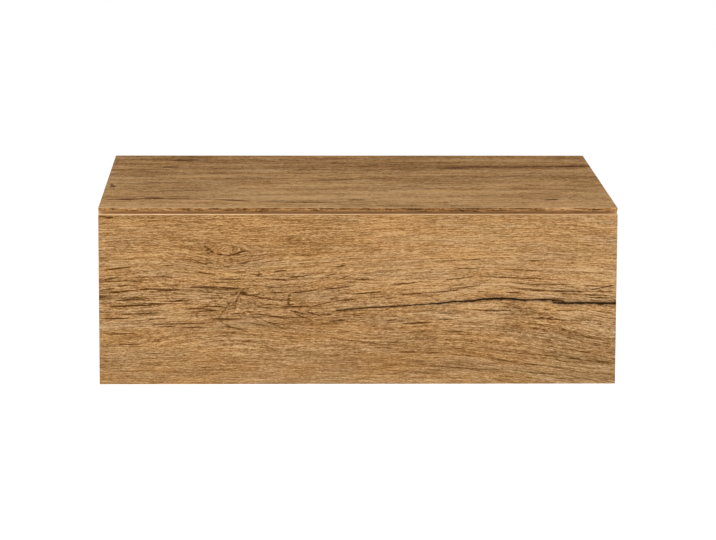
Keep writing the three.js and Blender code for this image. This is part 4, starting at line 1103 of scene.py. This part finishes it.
def arris_shape():
    """Geometry nodes that join a solid's faces and smooth all but its sharp edges."""
    tree = bpy.data.node_groups.new("arris", "GeometryNodeTree")
    tree.interface.new_socket("Geometry", in_out="INPUT", socket_type="NodeSocketGeometry")
    tree.interface.new_socket("Geometry", in_out="OUTPUT", socket_type="NodeSocketGeometry")
    nodes, links = tree.nodes, tree.links
    begin = nodes.new("NodeGroupInput")
    end = nodes.new("NodeGroupOutput")
    plain = nodes.new("GeometryNodeRemoveAttribute")
    plain.inputs["Name"].default_value = "custom_normal"
    weld = nodes.new("GeometryNodeMergeByDistance")
    weld.inputs["Distance"].default_value = WELD_DISTANCE
    smooth = nodes.new("GeometryNodeSetShadeSmooth")
    sharp = nodes.new("GeometryNodeSetShadeSmooth")
    sharp.domain = "EDGE"
    angle = nodes.new("GeometryNodeInputMeshEdgeAngle")
    steep = nodes.new("FunctionNodeCompare")
    steep.operation = "GREATER_THAN"
    steep.inputs[1].default_value = SHARP_ANGLE
    links.new(begin.outputs[0], plain.inputs[0])
    links.new(plain.outputs[0], weld.inputs[0])
    links.new(weld.outputs[0], smooth.inputs[0])
    links.new(smooth.outputs[0], sharp.inputs["Geometry"])
    links.new(angle.outputs["Unsigned Angle"], steep.inputs[0])
    links.new(steep.outputs[0], sharp.inputs["Selection"])
    sharp.inputs["Shade Smooth"].default_value = False
    links.new(sharp.outputs[0], end.inputs[0])
    return tree


def soften(piece, shape, width):
    """Joins the faces of a piece and rounds its arrises by a width in metres."""
    joined = piece.modifiers.new("joined", "NODES")
    joined.node_group = shape
    if width:
        rounded = piece.modifiers.new("rounded", "BEVEL")
        rounded.width = width
        rounded.segments = 2
        rounded.limit_method = "ANGLE"
        rounded.angle_limit = ARRIS_ANGLE
        rounded.use_clamp_overlap = False
        rounded.harden_normals = True


def make_finishes():
    """The finish of each material slot but the oak decor."""
    zinc_dark = linear(164, 169, 173)
    zinc_light = linear(196, 200, 202)
    return {
        "white_melamine": white_melamine(),
        "beech": beech(),
        "aluminium": metal(
            "aluminium", linear(168, 170, 172), linear(202, 204, 206), (90, 0.4, 0.4), 0.34, 0.02
        ),
        "zinc_steel": metal("zinc_steel", zinc_dark, zinc_light, (1.2, 18, 0.5), 0.3, 0.01),
        "cast_zinc": metal(
            "cast_zinc", linear(150, 152, 154), linear(190, 192, 194), (0.5, 0.5, 0.5), 0.42, 0.04
        ),
        "nickel": metal("nickel", linear(188, 186, 180), linear(222, 220, 214), (0.8, 0.8, 0.8), 0.22, 0.005),
        "latch_plastic": plastic("latch_plastic", linear(224, 224, 220), linear(238, 238, 235), 0.42),
        "plunger_plastic": plastic("plunger_plastic", linear(134, 137, 140), linear(156, 158, 161), 0.5),
        # The edge band's finish is a painted highlight
        "oak_edge_band": edge_band_painted_highlight(),
    }


def dress_solids(finishes):
    boards = {
        "drawer_front": front_oak(),
        "top_panel": top_oak(),
        "bottom_panel": plain_oak("bottom_panel", 3),
        "left_side_panel": plain_oak("left_side_panel", 4, "y"),
        "right_side_panel": plain_oak("right_side_panel", 5, "y"),
    }
    shape = arris_shape()
    for row in frame["record"]["subparts"]:
        name = row["node"]
        piece = frame["nodes"][name]
        finish = boards.get(name) or finishes[row["material_slot"]]
        piece.data.materials.clear()
        piece.data.materials.append(finish)
        is_board = name in boards or row["material_slot"] == "white_melamine"
        soften(piece, shape, BOARD_ARRIS if is_board else 0.0)


def coil_places(low, high, wire_radius):
    """Points along a coil that fills a box along Y, with a closed turn at each end."""
    open_turns = 6
    steps_per_turn = 24
    turns = open_turns + 2
    radius = (high.x - low.x) / 2 - wire_radius
    closed_rise = 2.1 * wire_radius
    open_rise = (high.y - low.y - 2 * wire_radius - 2 * closed_rise) / open_turns
    centre = (low + high) / 2
    places = []
    for step in range(turns * steps_per_turn + 1):
        turn = step / steps_per_turn
        closed = min(turn, 1) + max(turn - turns + 1, 0)
        along = low.y + wire_radius + closed * closed_rise + (turn - closed) * open_rise
        angle = 2 * math.pi * turn
        aside = radius * math.cos(angle)
        rise = radius * math.sin(angle)
        places.append(Vector((centre.x + aside, along, centre.z + rise)))
    return places


def make_latch_spring(finishes):
    """The coil of the latch's spring, carried with the cabinet in place of the spring's solid."""
    sides = 10
    wire_radius = 0.35 * MILLIMETRE
    low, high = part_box("latch_spring")
    places = coil_places(low, high, wire_radius)
    centre = (low + high) / 2
    corners = []
    for place in places:
        outwards = Vector((place.x - centre.x, 0, place.z - centre.z)).normalized()
        for side in range(sides):
            angle = 2 * math.pi * side / sides
            around = outwards * math.cos(angle) + Vector((0, math.sin(angle), 0))
            corners.append(place + around * wire_radius)
    faces = [tuple(range(sides)), tuple(reversed(range(len(corners) - sides, len(corners))))]
    for ring in range(len(places) - 1):
        for side in range(sides):
            near, beside = ring * sides + side, ring * sides + (side + 1) % sides
            faces.append((near, near + sides, beside + sides, beside))
    mesh = bpy.data.meshes.new("latch_coil")
    mesh.from_pydata([tuple(corner) for corner in corners], [], faces)
    mesh.shade_smooth()
    mesh.materials.append(finishes["nickel"])
    coil = bpy.data.objects.new("latch_coil", mesh)
    bpy.context.scene.collection.objects.link(coil)
    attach(coil, "cabinet")
    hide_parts("latch_spring")
    travel = next(joint for joint in frame["joints"] if joint["name"] == "plunger_slide")["range_m"][1]
    length = high.y - low.y
    1 - travel / length
    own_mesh(coil)


def floor_finish():
    """Matt white that glows a little, and that is clear from below so that the underside can be looked at."""
    graph = Graph("studio_floor")
    white = (1.0, 1.0, 1.0, 1.0)
    graph.finish(
        linear(244, 244, 244), 0.9, Specular_IOR_Level=0.0, Emission_Color=white, Emission_Strength=FLOOR_GLOW
    )
    clear = graph.node("ShaderNodeBsdfTransparent", {})
    below = graph.node("ShaderNodeNewGeometry", {}, "Backfacing")
    matt = Field(graph, graph.shader.outputs[0])
    seen = graph.node("ShaderNodeMixShader", {0: below, 1: matt, 2: clear})
    graph.tree.links.new(seen.socket, graph.tree.nodes["Material Output"].inputs["Surface"])
    return graph.material


def make_floor():
    half = FLOOR_SIZE / 2
    mesh = bpy.data.meshes.new("floor")
    corners = [(-half, -half, 0), (half, -half, 0), (half, half, 0), (-half, half, 0)]
    mesh.from_pydata(corners, [], [(0, 1, 2, 3)])
    floor = bpy.data.objects.new("floor", mesh)
    floor.location.z = UNDERSIDE - FLOOR_DROP
    bpy.context.scene.collection.objects.link(floor)
    floor.data.materials.append(floor_finish())


def make_sky():
    """A white surround that lights the object less than the camera sees it."""
    world = bpy.data.worlds.new("studio")
    world.use_nodes = True
    bpy.context.scene.world = world
    nodes, links = world.node_tree.nodes, world.node_tree.links
    shown = nodes.new("ShaderNodeLightPath")
    strength = nodes.new("ShaderNodeMapRange")
    strength.inputs["To Min"].default_value = SKY_LIGHT
    strength.inputs["To Max"].default_value = SKY_SHOWN
    links.new(shown.outputs["Is Camera Ray"], strength.inputs["Value"])
    background = nodes["Background"]
    background.inputs["Color"].default_value = (1.0, 1.0, 1.0, 1.0)
    links.new(strength.outputs[0], background.inputs["Strength"])


def make_softbox(name, place, size, power):
    """A square lamp that looks at the middle of the object."""
    data = bpy.data.lights.new(name, "AREA")
    data.size = size
    data.energy = power
    lamp = bpy.data.objects.new(name, data)
    middle = (cad_box[0] + cad_box[1]) / 2
    lamp.location = place
    lamp.rotation_euler = (middle - Vector(place)).to_track_quat("-Z", "Y").to_euler()
    bpy.context.scene.collection.objects.link(lamp)


make_camera()
finishes = make_finishes()
dress_solids(finishes)
make_latch_spring(finishes)
make_floor()
make_sky()
make_softbox("key_softbox", *KEY_LAMP)
make_softbox("overhead_softbox", *OVERHEAD_LAMP)
bpy.context.scene.view_settings.view_transform = "Standard"
